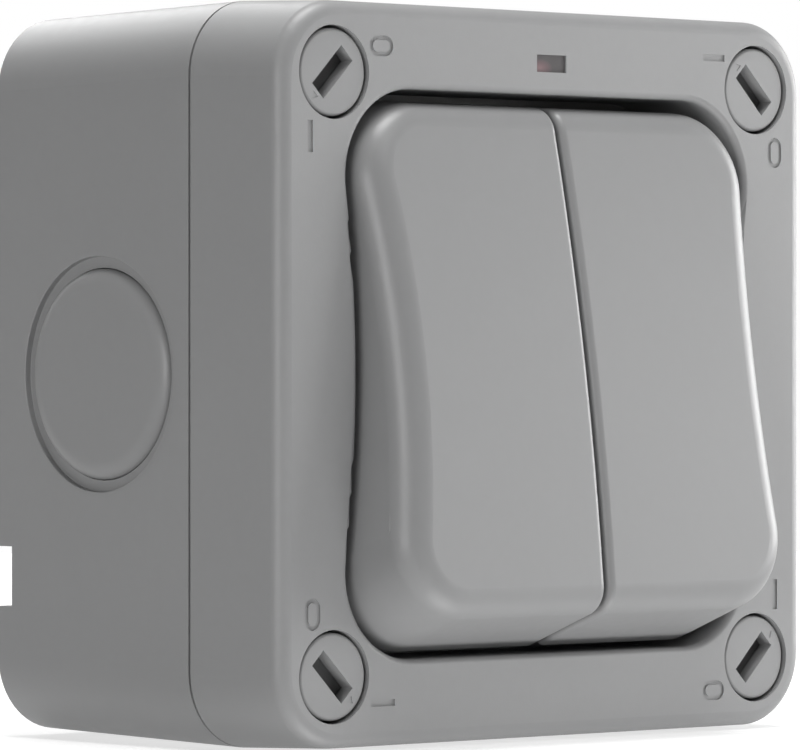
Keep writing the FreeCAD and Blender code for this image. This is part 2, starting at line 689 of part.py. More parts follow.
def make_fastener(name, across, up):
    """Built about the face, so its depths are counted behind it."""
    fastener = new_body(f"fastener_{name}", f"{across} * {CORNER}", FACE, f"{up} * {CORNER}",
                        axis=(0, -1, 0), turn=LOCKED_TURNS[name])
    cam_front = f"({FACE} - {LEDGE_BACK} + cam_clearance)"
    tip = f"({cam_front} + cam_thickness + cam_clearance)"
    head_back = "(fastener_sink + fastener_head_thickness)"
    profile = new_sketch(fastener, "profile", "YZ_Plane")
    outline(profile, [
        ("fastener_sink", "0"),
        (tip, "0"),
        (tip, "fastener_shank_radius"),
        (head_back, "fastener_shank_radius"),
        (head_back, "fastener_head_radius"),
        ("fastener_sink", "fastener_head_radius"),
    ])
    revolve(fastener, profile)
    head_front = value("fastener_sink")
    round_edges(fastener, "fastener_edge_radius", lambda edge: (
        lies_at_depth(edge, -head_front) and edge.BoundBox.XLength > value("fastener_head_radius")))
    slot = new_sketch(fastener, "slot", lift="-fastener_sink")
    rectangle(slot, "fastener_slot_length / 2", "fastener_slot_width / 2")
    pocket(fastener, slot, "fastener_slot_depth")
    cam = new_sketch(fastener, "cam", lift=f"-{cam_front}")
    rectangle(cam, "cam_reach / 2", "cam_width / 2", x="cam_reach / 2")
    pad(fastener, cam, "cam_thickness", back=True)


def make_fastener_seals():
    """Rings under the four heads."""
    rings = []
    front = f"({FACE} - fastener_sink - fastener_head_thickness - running_fit)"
    for name, (across, up) in CORNERS.items():
        x = f"{across} * {CORNER}"
        z = f"{up} * {CORNER}"
        disc = round_bar(f"seal_disc_{name}", "seal_radius", "seal_thickness - running_fit", x, front, z)
        hole = round_bar(f"seal_hole_{name}", "fastener_shank_radius + plug_clearance",
                         "seal_thickness - running_fit", x, front, z)
        ring = doc.addObject("Part::Cut", f"seal_ring_{name}")
        ring.Base = disc
        ring.Tool = hole
        rings.append(ring)
    group("fastener_seals", rings)


# Blanking plugs
# A domed-edge head sits in the recess on a flat seal, and a skirt with a snap lip holds behind the wall.

PLUGS = {
    "left": (f"-{ENTRY_FACE}", "0", (0, 0, 1), "0"),
    "right": (ENTRY_FACE, "0", (0, 0, 1), "180"),
    "top": ("0", ENTRY_FACE, (0, 1, 0), "90"),
    "bottom": ("0", f"-{ENTRY_FACE}", (0, -1, 0), "90"),
}


def make_plug(name, x, z, axis, turn):
    """Built along X, with the box's outer face at X = 0 and its inside towards +X."""
    plug = new_body(f"entry_plug_{name}", x, "entry_depth", z, axis, turn)
    under = "(entry_recess_depth - plug_seal_thickness)"
    top = f"({under} - plug_head_thickness)"
    wall = "entry_boss_height"
    skirt = "(entry_bore_radius - plug_clearance)"
    behind = f"({wall} + plug_clearance)"
    profile = new_sketch(plug, "profile", "XY_Plane")
    outline(profile, [
        (top, "0"),
        (under, "0"),
        (under, f"{skirt} - plug_wall"),
        (f"{behind} + 2 * plug_lip", f"{skirt} - plug_wall"),
        (f"{behind} + 2 * plug_lip", skirt),
        (f"{behind} + plug_lip", f"{skirt} + plug_lip"),
        (behind, f"{skirt} + plug_lip"),
        (behind, skirt),
        (under, skirt),
        (under, "plug_head_radius"),
        (f"{top} + plug_edge_radius", "plug_head_radius", "plug_edge_radius", 1),
        (top, "plug_head_radius - plug_edge_radius"),
    ])
    revolve(plug, profile)
    seal = new_body(f"plug_seal_{name}", x, "entry_depth", z, axis, turn)
    ring = new_sketch(seal, "ring", "YZ_Plane", under)
    circle(ring, "(entry_bore_radius + plug_clearance + plug_seal_width)")
    circle(ring, "(entry_bore_radius + plug_clearance)")
    pad(seal, ring, "plug_seal_thickness")


# Rockers
# A crowned cap, tilted about its pin. Both are halves of one waisted form, cut apart at the middle.

ROCKER_WAIST = "(well_waist_width / 2 - rocker_clearance)"
ROCKER_BOW = "(well_bow_radius + rocker_clearance)"
ROCKER_TOP = f"(crown_height + 2 * {MARGIN})"


def rocker_half_length(height, wall="0"):
    return f"(rocker_swing_length / 2 - {height} * tan(rocker_taper) - {wall})"


def make_rocker(name, side):
    rocker = new_body(f"rocker_{name}", depth=PIVOT, axis=(-1, 0, 0), turn="rocker_tilt")
    foot = new_sketch(rocker, "foot")
    waisted_panel(foot, ROCKER_WAIST, ROCKER_BOW, "rocker_corner_radius", rocker_half_length("0"))
    head = new_sketch(rocker, "head", lift=ROCKER_TOP)
    waisted_panel(head, ROCKER_WAIST, ROCKER_BOW, "rocker_corner_radius", rocker_half_length(ROCKER_TOP))
    loft(rocker, foot, head)

    crown = new_sketch(rocker, "crown", "YZ_Plane")
    edge_height = "(crown_height - crown_radius + sqrt(crown_radius ^ 2 - (rocker_swing_length / 2) ^ 2))"
    outline(crown, [
        (f"-{edge_height}", "-rocker_swing_length / 2", "crown_radius", -1),
        (f"-{edge_height}", "rocker_swing_length / 2"),
        (f"-({ROCKER_TOP} + {MARGIN})", "rocker_swing_length / 2"),
        (f"-({ROCKER_TOP} + {MARGIN})", "-rocker_swing_length / 2"),
    ])
    pocket(rocker, crown, "box_width", symmetric=True)
    lowest = value(edge_height) - 0.01
    round_edges(rocker, "rocker_edge_radius", lambda edge: -edge.BoundBox.YMax > lowest)

    other_half = new_sketch(rocker, "other_half", lift=f"-{MARGIN}")
    rectangle(other_half, "box_width / 4", "rocker_swing_length",
              x=f"{-side} * (box_width / 4 - rocker_gap / 2)")
    pocket(rocker, other_half, f"{ROCKER_TOP} + 2 * {MARGIN}", front=True)
    gap = value("rocker_gap") / 2
    round_edges(rocker, "rocker_inner_edge", lambda edge: (
        abs(edge.BoundBox.XMin - side * gap) < 0.01 and abs(edge.BoundBox.XMax - side * gap) < 0.01
        and edge.BoundBox.YLength + edge.BoundBox.ZLength > 0.1 and edge.BoundBox.YMin < -0.1))

    inner = "(rocker_gap / 2 + rocker_shell)"
    waist = f"({ROCKER_WAIST} - rocker_shell)"
    bow = f"({ROCKER_BOW} + rocker_shell)"
    radius = "(rocker_corner_radius - rocker_shell)"
    mouth = new_sketch(rocker, "mouth")
    half_panel(mouth, side, inner, waist, bow, radius, rocker_half_length("0", "rocker_shell"))
    ceiling = new_sketch(rocker, "ceiling", lift="rocker_ceiling")
    half_panel(ceiling, side, inner, waist, bow, radius, rocker_half_length("rocker_ceiling", "rocker_shell"))
    loft(rocker, mouth, ceiling, "SubtractiveLoft")
    add_rocker_lugs(rocker, side)


def add_rocker_lugs(rocker, side):
    """Two lugs for the pin and, between them, two ribs that hold the dolly's tab, rooted in the ceiling."""
    root_height = "(rocker_ceiling + rocker_shell / 4)"
    for lug_name, way in SIDES.items():
        middle = f"{side} * gang_pitch / 2 + {way} * (lug_inner + lug_thickness / 2)"
        lug = new_sketch(rocker, f"lug_{lug_name}", "YZ_Plane", middle)
        outline(lug, [
            (f"-{root_height}", "lug_radius"),
            (f"-{root_height}", "-lug_radius"),
            ("0", "-lug_radius", HALF_TURN, 1),
            ("0", "lug_radius"),
        ])
        pad(rocker, lug, "lug_thickness", symmetric=True)
    ribs = new_sketch(rocker, "socket_ribs", lift=root_height)
    for way in (1, -1):
        z = f"{way} * (tab_width / 2 + tab_clearance + socket_rib / 2)"
        rectangle(ribs, "(lug_inner + lug_thickness / 2)", "socket_rib / 2", x=f"{side} * gang_pitch / 2", y=z)
    pad(rocker, ribs, "socket_depth", back=True)
    bore = new_sketch(rocker, "pin_bore", "YZ_Plane", f"{side} * gang_pitch / 2")
    circle(bore, "(pin_radius + seated_fit)")
    pocket(rocker, bore, f"2 * (lug_inner + lug_thickness + {MARGIN})", symmetric=True)


# What turns with each rocker: pin, dolly, plunger and spring

def make_rocker_works(name, side):
    x = f"{side} * gang_pitch / 2"
    tilt = {"axis": (-1, 0, 0), "turn": "rocker_tilt"}

    pin = new_body(f"pivot_pin_{name}", x, PIVOT, **tilt)
    rod = new_sketch(pin, "rod", "YZ_Plane")
    circle(rod, "pin_radius")
    pad(pin, rod, "pin_length", symmetric=True)

    dolly = new_body(f"dolly_{name}", x, PIVOT, **tilt)
    lever = new_sketch(dolly, "lever", "YZ_Plane")
    outline(lever, [
        ("-(rocker_ceiling - tab_clearance)", "-tab_width / 2"),
        ("-shoulder_front", "-tab_width / 2"),
        ("-shoulder_back", "-stem_width / 2"),
        ("stem_end", "-stem_width / 2"),
        ("stem_end", "stem_width / 2"),
        ("-shoulder_back", "stem_width / 2"),
        ("-shoulder_front", "tab_width / 2"),
        ("-(rocker_ceiling - tab_clearance)", "tab_width / 2"),
    ])
    circle(lever, "(pin_radius + seated_fit)")
    pad(dolly, lever, "stem_width", symmetric=True)
    bore = new_sketch(dolly, "plunger_bore", lift="-stem_end")
    circle(bore, "(plunger_radius + running_fit)")
    pocket(dolly, bore, "stem_end - spring_seat", front=True)

    plunger = new_body(f"plunger_{name}", x, PIVOT, **tilt)
    profile = new_sketch(plunger, "profile", "YZ_Plane")
    outline(profile, [
        ("plunger_back", "0"),
        ("plunger_tip", "0", "plunger_tip_radius", 1),
        ("plunger_tip - plunger_dome", "plunger_radius"),
        ("plunger_back", "plunger_radius"),
    ])
    revolve(plunger, profile)

    spring = new_body(f"plunger_spring_{name}", x, PIVOT, **tilt)
    wire = new_sketch(spring, "wire", "YZ_Plane")
    circle(wire, "spring_wire / 2", "spring_seat + spring_wire / 2 + seated_fit", "spring_radius")
    coil = spring.newObject("PartDesign::AdditiveHelix", f"{spring.Name}_coil")
    coil.Profile = wire
    coil.ReferenceAxis = (wire, ["H_Axis"])
    coil.Mode = "pitch-height-angle"
    coil.setExpression("Pitch", bound("spring_pitch"))
    coil.setExpression("Height", bound("spring_length"))


# Moving contact: a strip that rocks on its round bead, with two silver tips

def make_seesaw(name, side):
    x = f"{side} * gang_pitch / 2"
    depth = f"{PIVOT} - seesaw_depth"
    seesaw = new_body(f"seesaw_{name}", x, depth, axis=(1, 0, 0), turn="seesaw_tilt")
    strip = new_sketch(seesaw, "strip", "YZ_Plane")
    outline(strip, [
        ("-seesaw_thickness", "seesaw_length / 2"),
        ("-seesaw_thickness", "-seesaw_length / 2"),
        ("0", "-seesaw_length / 2"),
        ("0", "-seesaw_bead", HALF_TURN, 1),
        ("0", "seesaw_bead"),
        ("0", "seesaw_length / 2"),
    ])
    pad(seesaw, strip, "seesaw_width", symmetric=True)

    tips = new_body(f"moving_contact_{name}_upper", x, depth, axis=(1, 0, 0), turn="seesaw_tilt")
    tips_low = new_body(f"moving_contact_{name}_lower", x, depth, axis=(1, 0, 0), turn="seesaw_tilt")
    for body, way in ((tips, 1), (tips_low, -1)):
        disc = new_sketch(body, "disc")
        circle(disc, "tip_radius", "0", f"{way} * tip_reach")
        pad(body, disc, "tip_height", back=True)
        parts.remove(body)
    group(f"moving_contacts_{name}", [tips, tips_low])


# Switch modules
# Local depths are counted behind the rocker's axis, so a lift of minus the depth sets a sketch there.

def make_stem_seal(name, side):
    seal = new_body(f"stem_seal_{name}", f"{side} * gang_pitch / 2", PIVOT)
    plate = new_sketch(seal, "plate", lift=f"-{MODULE_FRONT}")
    rectangle(plate, "seal_plate_width / 2", "seal_plate_length / 2")
    rectangle(plate, "opening_width / 2", "opening_length / 2")
    pad(seal, plate, "seal_plate_thickness")


def make_module_housing(name, side):
    housing = new_body(f"module_housing_{name}", f"{side} * gang_pitch / 2", PIVOT)
    block = new_sketch(housing, "block", lift=f"-{MODULE_FRONT}")
    rectangle(block, "module_width / 2", "module_height / 2")
    pad(housing, block, "module_depth", back=True)
    flange = new_sketch(housing, "flange", lift=f"-{MODULE_FRONT}")
    rectangle(flange, "flange_width / 2", "(module_height / 2 + flange_length)")
    pad(housing, flange, "flange_thickness", back=True)
    cavity = new_sketch(housing, "cavity", lift=f"-{MODULE_FRONT}")
    rectangle(cavity, "cavity_width / 2", "cavity_height / 2")
    pocket(housing, cavity, "cavity_depth")
    screws = new_sketch(housing, "screw_holes", lift=f"-{MODULE_FRONT}")
    for way in (1, -1):
        circle(screws, "(module_screw_radius + plug_clearance)", "0", f"{way} * (module_height / 2 + flange_length / 2)")
    pocket(housing, screws, "flange_thickness + running_fit")

    chamber_depth = f"({MODULE_BACK} - fixed_contact_depth)"
    for place_name, x, z in clamp_places():
        chamber = new_sketch(housing, f"chamber_{place_name}", lift=f"-{MODULE_BACK}")
        rectangle(chamber, "(clamp_width / 2 + clamp_clearance)", "(clamp_height / 2 + clamp_clearance)", x, z)
        pocket(housing, chamber, chamber_depth, front=True)
    for way_name, way in (("upper", 1), ("lower", -1)):
        slot = new_sketch(housing, f"blade_slot_{way_name}", lift="-fixed_contact_depth")
        middle = f"{way} * (cavity_height / 2 + clamp_offset) / 2"
        rectangle(slot, "(seesaw_width / 2 + seated_fit)", "(clamp_offset - cavity_height / 2) / 2", y=middle)
        pocket(housing, slot, "blade_thickness + seated_fit")
        wire = new_sketch(housing, f"wire_hole_{way_name}", "XY_Plane", f"{way} * module_height / 2")
        circle(wire, "wire_radius", "0", "fixed_contact_depth + wire_depth")
        pocket(housing, wire, "module_height / 2 - clamp_offset", front=way < 0)
    slot = new_sketch(housing, "common_slot", lift=f"-{COMMON_BLADE}")
    rectangle(slot, "common_offset / 2", "(saddle_height / 2 + seated_fit)", x="common_offset / 2")
    pocket(housing, slot, "blade_thickness + seated_fit")
    wire = new_sketch(housing, "wire_hole_common", "YZ_Plane", "module_width / 2")
    circle(wire, "wire_radius", "fixed_contact_depth + wire_depth", "0")
    pocket(housing, wire, "module_width / 2 - common_offset")


def clamp_places():
    """The three terminal blocks of a module: name, X and Z from the gang's middle."""
    return [("upper", "0", "clamp_offset"), ("lower", "0", "-clamp_offset"), ("common", "common_offset", "0")]


def make_terminals(name, side):
    """A block with a wire hole and a screw hole, and the blade that carries its contact."""
    gang = f"{side} * gang_pitch / 2"
    screws = []
    for place_name, x, z in clamp_places():
        terminal = new_body(f"terminal_{place_name}_{name}", gang, PIVOT)
        block = new_sketch(terminal, "block", lift="-(fixed_contact_depth + clamp_clearance)")
        rectangle(block, "clamp_width / 2", "clamp_height / 2", x, z)
        pad(terminal, block, "clamp_length", back=True)
        if place_name == "common":
            add_saddle(terminal)
            wire = new_sketch(terminal, "wire_hole", "YZ_Plane", f"{x} + clamp_width")
            circle(wire, "wire_radius", "fixed_contact_depth + wire_depth", z)
            pocket(terminal, wire, "2 * clamp_width")
        else:
            way = 1 if place_name == "upper" else -1
            add_blade(terminal, way)
            wire = new_sketch(terminal, "wire_hole", "XY_Plane", z)
            circle(wire, "wire_radius", x, "fixed_contact_depth + wire_depth")
            pocket(terminal, wire, "2 * clamp_height", symmetric=True)
        hole = new_sketch(terminal, "screw_hole", lift="-(fixed_contact_depth + clamp_clearance + clamp_length)")
        circle(hole, "(clamp_screw_radius + seated_fit)", x, z)
        pocket(terminal, hole, "clamp_length - wire_depth", front=True)
        screws.append(make_clamp_screw(f"clamp_screw_{place_name}_{name}", gang, x, z))
    group(f"terminal_screws_{name}", screws)


def add_blade(terminal, way):
    """A blade from the end block to the fixed contact under the strip's tip."""
    blade = new_sketch(terminal, "blade", lift="-fixed_contact_depth")
    inner = "(tip_reach - tip_radius)"
    middle = f"{way} * ({inner} + clamp_offset) / 2"
    rectangle(blade, "seesaw_width / 2", f"(clamp_offset - {inner}) / 2", y=middle)
    pad(terminal, blade, "blade_thickness", back=True)


def add_saddle(terminal):
    """The post with a round groove in which the strip rocks, and its blade to the block."""
    post = new_sketch(terminal, "post", lift="-saddle_depth")
    rectangle(post, "seesaw_width / 2", "saddle_height / 2")
    pad(terminal, post, f"{COMMON_BLADE} + blade_thickness - saddle_depth", back=True)
    blade = new_sketch(terminal, "blade", lift=f"-{COMMON_BLADE}")
    rectangle(blade, "common_offset / 2", "saddle_height / 2", x="common_offset / 2")
    pad(terminal, blade, "blade_thickness", back=True)
    groove = new_sketch(terminal, "groove", "YZ_Plane")
    circle(groove, "(seesaw_bead + running_fit)", "seesaw_depth", "0")
    pocket(terminal, groove, "2 * seesaw_width", symmetric=True)


def make_clamp_screw(label, gang, x, z):
    """A short slotted screw, driven from behind."""
    block_back = "(fixed_contact_depth + clamp_clearance + clamp_length)"
    return make_slotted_screw(label, f"{gang} + {x}", PIVOT, z, block_back, "clamp_screw_radius",
                              "clamp_screw_length", "clamp_screw_head", "clamp_screw_head_height")


def make_slotted_screw(label, x, depth, z, seat, radius, reach, head, head_height):
    """A screw whose head seats on a face looking to the wall, seat behind the body's own origin."""
    screw = new_body(label, x, depth, z)
    profile = new_sketch(screw, "profile", "YZ_Plane")
    outline(profile, [
        (f"{seat} - {reach}", "0"),
        (f"{seat} + {head_height}", "0"),
        (f"{seat} + {head_height}", head),
        (seat, head),
        (seat, radius),
        (f"{seat} - {reach}", radius),
    ])
    revolve(screw, profile)
    slot = new_sketch(screw, "slot", lift=f"-({seat} + {head_height})")
    rectangle(slot, f"{head} + {MARGIN}", "screw_slot_width / 2")
    pocket(screw, slot, "screw_slot_depth", front=True)
    parts.remove(screw)
    return screw


def make_module_screws():
    screws = []
    for side_name, side in SIDES.items():
        for way_name, way in (("upper", 1), ("lower", -1)):
            z = f"{way} * (module_height / 2 + flange_length / 2)"
            seat = f"({MODULE_FRONT} + flange_thickness)"
            screws.append(make_slotted_screw(
                f"module_screw_{side_name}_{way_name}", f"{side} * gang_pitch / 2", PIVOT, z, seat,
                "module_screw_radius", "(flange_thickness + module_screw_reach)",
                "module_screw_head", "module_screw_head_height"))
    group("module_screws", screws)


# Indicator
# A lens in the window, and behind it a holder with the lamp and its resistor.

def make_indicator():
    lens = new_body("indicator_lens", "0", FACE, "window_rise")
    flange = new_sketch(lens, "flange", lift="-cover_plate")
    rectangle(flange, "(window_width / 2 + lens_flange)", "(window_height / 2 + lens_flange)")
    pad(lens, flange, "lens_flange_thickness", back=True)
    pane = new_sketch(lens, "pane", lift="-cover_plate - lens_flange_thickness / 2")
    rectangle(pane, "(window_width / 2 - seated_fit)", "(window_height / 2 - seated_fit)")
    pad(lens, pane, "cover_plate + lens_flange_thickness / 2 - window_sink")

    behind = f"({PLATE_BACK} - lens_flange_thickness)"
    holder = new_body("lamp_holder", "0", behind, "lamp_rise")
    shell = new_sketch(holder, "shell")
    outer = "(lamp_radius + seated_fit + holder_wall)"
    rectangle(shell, "(resistor_offset + resistor_radius + holder_wall) / 2 + lamp_radius / 2 + holder_wall / 2", outer,
              x="(resistor_offset + resistor_radius - lamp_radius) / 2")
    circle(shell, "(lamp_radius + seated_fit)")
    circle(shell, "(resistor_radius + seated_fit)", "resistor_offset", "0")
    pad(holder, shell, "holder_length", back=True)

    lamp = new_body("neon_lamp", "0", behind, "lamp_rise")
    glass = new_sketch(lamp, "profile", "YZ_Plane")
    outline(glass, [
        ("seated_fit", "0"),
        ("seated_fit + lamp_length", "0"),
        ("seated_fit + lamp_length", "lamp_radius"),
        ("seated_fit + lamp_radius", "lamp_radius", "lamp_radius", 1),
    ])
    revolve(lamp, glass)
    resistor = new_body("lamp_resistor", "resistor_offset", behind, "lamp_rise")
    tube = new_sketch(resistor, "body", lift="-(holder_length - resistor_length)")
    circle(tube, "resistor_radius")
    pad(resistor, tube, "resistor_length", back=True)


def make_earth():
    """Earth block on the base, with its screw on the free end."""
    block = new_body("earth_terminal")
    base = new_sketch(block, "block", lift=BASE_FRONT)
    rectangle(base, "earth_size / 2", "earth_size / 2")
    pad(block, base, "earth_size")
    wire = new_sketch(block, "wire_hole", "XY_Plane")
    circle(wire, "wire_radius", "0", f"-({BASE_FRONT} + earth_wire_rise)")
    pocket(block, wire, f"earth_size + {MARGIN}", symmetric=True)
    hole = new_sketch(block, "screw_hole", lift=f"{BASE_FRONT} + earth_size")
    circle(hole, "(clamp_screw_radius + seated_fit)")
    pocket(block, hole, "earth_size - earth_wire_rise")

    screw = new_body("earth_screw", depth=f"{BASE_FRONT} + earth_size")
    profile = new_sketch(screw, "profile", "YZ_Plane")
    outline(profile, [
        ("-clamp_screw_head_height", "0"),
        ("clamp_screw_length", "0"),
        ("clamp_screw_length", "clamp_screw_radius"),
        ("0", "clamp_screw_radius"),
        ("0", "clamp_screw_head"),
        ("-clamp_screw_head_height", "clamp_screw_head"),
    ])
    revolve(screw, profile)
    slot = new_sketch(screw, "slot", lift="clamp_screw_head_height")
    rectangle(slot, f"clamp_screw_head + {MARGIN}", "screw_slot_width / 2")
    pocket(screw, slot, "screw_slot_depth")


make_back_box()
make_front_cover()
make_gasket()
for corner_name, (corner_x, corner_z) in CORNERS.items():
    make_fastener(corner_name, corner_x, corner_z)
make_fastener_seals()
for plug_name, plug_place in PLUGS.items():
    make_plug(plug_name, *plug_place)
for gang_name, gang_side in SIDES.items():
    make_rocker(gang_name, gang_side)
    make_rocker_works(gang_name, gang_side)
    make_seesaw(gang_name, gang_side)
    make_stem_seal(gang_name, gang_side)
    make_module_housing(gang_name, gang_side)
    make_terminals(gang_name, gang_side)
make_module_screws()
make_indicator()
make_earth()
doc.recompute()

faults = [f"{item.Label}: {item.State}" for item in doc.Objects
          if "Invalid" in item.State or "Error" in item.State]
for part in parts:
    if part.Shape.isNull() or not part.Shape.isValid():
        faults.append(f"{part.Label}: shape")
if faults:
    raise RuntimeError("; ".join(faults))

os.makedirs("parts", exist_ok=True)
for part in parts:
    part.Shape.exportStep(f"parts/{part.Label}.step")
    print(part.Label, len(part.Shape.Solids), round(part.Shape.Volume, 1))
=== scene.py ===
# %% [markdown]
# # A surface mounted light switch for outdoor walls
# The switch is a sealed grey box with a cover, two tilting rockers in a waisted well, four corner fasteners
# and blanked conduit entries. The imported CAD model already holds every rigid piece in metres. The wall is the
# plane Y = 0, the front faces -Y and Z is up. This script dresses that model: it cuts the small signs into
# the mouldings, fits collars and plugs into the conduit entries, gives every piece its finish, and sets up the
# studio and the camera.

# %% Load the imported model
import json
import math
import bmesh
import bpy
from mathutils import Matrix, Vector
from mathutils.bvhtree import BVHTree
from mathutils.interpolate import poly_3d_calc


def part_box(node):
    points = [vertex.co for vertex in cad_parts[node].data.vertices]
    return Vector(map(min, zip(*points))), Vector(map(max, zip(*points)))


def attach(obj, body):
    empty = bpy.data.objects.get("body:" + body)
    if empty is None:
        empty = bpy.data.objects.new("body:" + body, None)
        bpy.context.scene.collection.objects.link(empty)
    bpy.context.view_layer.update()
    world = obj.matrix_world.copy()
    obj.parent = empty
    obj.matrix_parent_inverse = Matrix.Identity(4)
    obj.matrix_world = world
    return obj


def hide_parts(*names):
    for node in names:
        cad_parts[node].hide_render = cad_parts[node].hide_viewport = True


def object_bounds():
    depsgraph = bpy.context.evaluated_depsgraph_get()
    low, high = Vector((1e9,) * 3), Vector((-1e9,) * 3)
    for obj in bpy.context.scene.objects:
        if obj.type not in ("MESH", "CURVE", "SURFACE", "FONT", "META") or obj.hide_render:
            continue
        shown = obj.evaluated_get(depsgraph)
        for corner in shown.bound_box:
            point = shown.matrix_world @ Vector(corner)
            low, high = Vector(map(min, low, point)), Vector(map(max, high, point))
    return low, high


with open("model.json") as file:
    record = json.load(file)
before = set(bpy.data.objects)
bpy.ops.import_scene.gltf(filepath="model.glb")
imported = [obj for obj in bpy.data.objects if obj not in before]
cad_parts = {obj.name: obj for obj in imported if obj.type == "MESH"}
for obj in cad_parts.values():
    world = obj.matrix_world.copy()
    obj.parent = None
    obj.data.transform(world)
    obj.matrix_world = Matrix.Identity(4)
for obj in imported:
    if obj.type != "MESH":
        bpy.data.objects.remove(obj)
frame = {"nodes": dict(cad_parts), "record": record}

nodes = frame["nodes"]
cad_box = [list(corner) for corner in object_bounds()]
print("CAD box", cad_box)

# %% [markdown]
# ## The camera
# A product photograph of so small an object is taken with a long lens from a little under a metre, so that
# the sides hardly converge. The camera stands to the left of the switch and level with its middle. Its place
# is worked out from the direction of view: forward, right and up are three unit vectors, and the camera sits
# at a point on the line of view, looking along it.

# %% Camera
MM = 0.001
VIEW_TURN = math.radians(42.672)
VIEW_DROP = math.radians(0.137)
LENS_MM = 273.14
SENSOR_MM = 36
VIEW_DISTANCE = 822.33 * MM
LOOK_AT = Vector((0, -29.53, 0)) * MM
SLIDE_RIGHT = -1.4316 * MM
SLIDE_UP = -0.1745 * MM

forward = Vector((math.sin(VIEW_TURN) * math.cos(VIEW_DROP), math.cos(VIEW_TURN) * math.cos(VIEW_DROP),
                  -math.sin(VIEW_DROP)))
right = Vector((math.cos(VIEW_TURN), -math.sin(VIEW_TURN), 0))
up = right.cross(forward)

camera_data = bpy.data.cameras.new("camera")
camera_data.lens = LENS_MM
camera_data.sensor_width = SENSOR_MM
camera = bpy.data.objects.new("camera", camera_data)
camera.matrix_world = Matrix.Translation(
    LOOK_AT - forward * VIEW_DISTANCE + right * SLIDE_RIGHT + up * SLIDE_UP
) @ Matrix((right, up, -forward)).transposed().to_4x4()
bpy.context.scene.collection.objects.link(camera)
bpy.context.scene.camera = camera
print("camera at", [round(c, 4) for c in camera.matrix_world.translation])

# %% [markdown]
# ## Helpers for meshes
# A CAD mesh arrives as loose triangles that carry the exact normals of the round and flat faces they came from.
# Before such a shape can be cut, its copies of each corner are merged, so that it's one closed skin. The cut
# makes new triangles, so the exact normals have to be put back: each triangle looks up the CAD triangle under
# its middle and takes its normals from there, and a triangle of the cut itself, which lies on no CAD face, is
# left flat. Some copies also get their points moved a little first, by a function from point to point.

# %% Mesh helpers
MERGE_DISTANCE = 0.001 * MM
ON_SURFACE = 0.004 * MM
SAME_FACE = math.cos(math.radians(35))


def new_object(name, bm):
    """Turns a bmesh into an object at the origin."""
    mesh = bpy.data.meshes.new(name)
    bm.to_mesh(mesh)
    bm.free()
    piece = bpy.data.objects.new(name, mesh)
    bpy.context.scene.collection.objects.link(piece)
    return piece


def as_drawn(point):
    """Leaves a point where the CAD model has it."""
    return point


def merged_copy(node, reshape):
    """The CAD node's shape as one closed skin, with its points moved by a function."""
    bm = bmesh.new()
    bm.from_mesh(nodes[node].data)
    for vert in bm.verts:
        vert.co = reshape(vert.co)
    bmesh.ops.remove_doubles(bm, verts=bm.verts, dist=MERGE_DISTANCE)
    for layer in list(bm.loops.layers.float_vector.values()):
        bm.loops.layers.float_vector.remove(layer)
    return bm


def restore_shading(piece, source, reshape):
    """Gives the CAD mesh's exact normals back to what the cut left of it."""
    corners = [reshape(vert.co) for vert in source.vertices]
    triangles = [tuple(face.vertices) for face in source.polygons]
    surface = BVHTree.FromPolygons(corners, triangles)
    exact = [loop.vector.copy() for loop in source.corner_normals]
    mesh = piece.data
    mesh.polygons.foreach_set("use_smooth", [True] * len(mesh.polygons))
    normals = [None] * len(mesh.loops)
    for face in mesh.polygons:
        normal = face.normal.copy()
        _, _, index, distance = surface.find_nearest(face.center)
        for loop in face.loop_indices:
            normals[loop] = normal
            if distance < ON_SURFACE:
                under = source.polygons[index]
                place = mesh.vertices[mesh.loops[loop].vertex_index].co
                shares = poly_3d_calc([corners[vert] for vert in under.vertices], place)
                smooth = sum((exact[spot] * share for spot, share in zip(under.loop_indices, shares)), Vector())
                if smooth.normalized().dot(normal) > SAME_FACE:
                    normals[loop] = smooth.normalized()
    mesh.normals_split_custom_set(normals)


def carve(name, node, cutter, reshape=as_drawn):
    """A new piece: the CAD node's shape, its points moved by a function, without the cutter's shape."""
    skin = new_object(f"{name}_raw", merged_copy(node, reshape))
    cut = skin.modifiers.new("carve", "BOOLEAN")
    cut.operation = "DIFFERENCE"
    cut.solver = "EXACT"
    cut.object = cutter
    split = skin.modifiers.new("triangles", "TRIANGULATE")
    split.min_vertices = 4
    depsgraph = bpy.context.evaluated_depsgraph_get()
    mesh = bpy.data.meshes.new_from_object(skin.evaluated_get(depsgraph))
    mesh.name = name
    piece = bpy.data.objects.new(name, mesh)
    bpy.context.scene.collection.objects.link(piece)
    for spare in (skin, cutter):
        bpy.data.objects.remove(spare)
    restore_shading(piece, nodes[node].data, reshape)
    print(name, "faces before", len(nodes[node].data.polygons), "after", len(mesh.polygons))
    return piece


# %% [markdown]
# ## Signs in the cover
# Each corner fastener turns between a bar for locked and an oval for open. On the real cover these signs are
# shallow grooves left by raised letters in the mould, so they are cut here too, where a bump map would look
# flat from the side. A groove is drawn flat on the face, as a stroke, then extruded to its depth: the oval is
# a capped circle whose halves are pulled apart and whose middle is inset and removed.

# %% Groove cutters
FACE_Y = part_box("front_cover")[0].y
SIGN_DEPTH = 0.2 * MM
SIGN_STROKE = 0.58 * MM
OVAL_SEGMENTS = 48
CUTTER_OVERHANG = 0.3 * MM


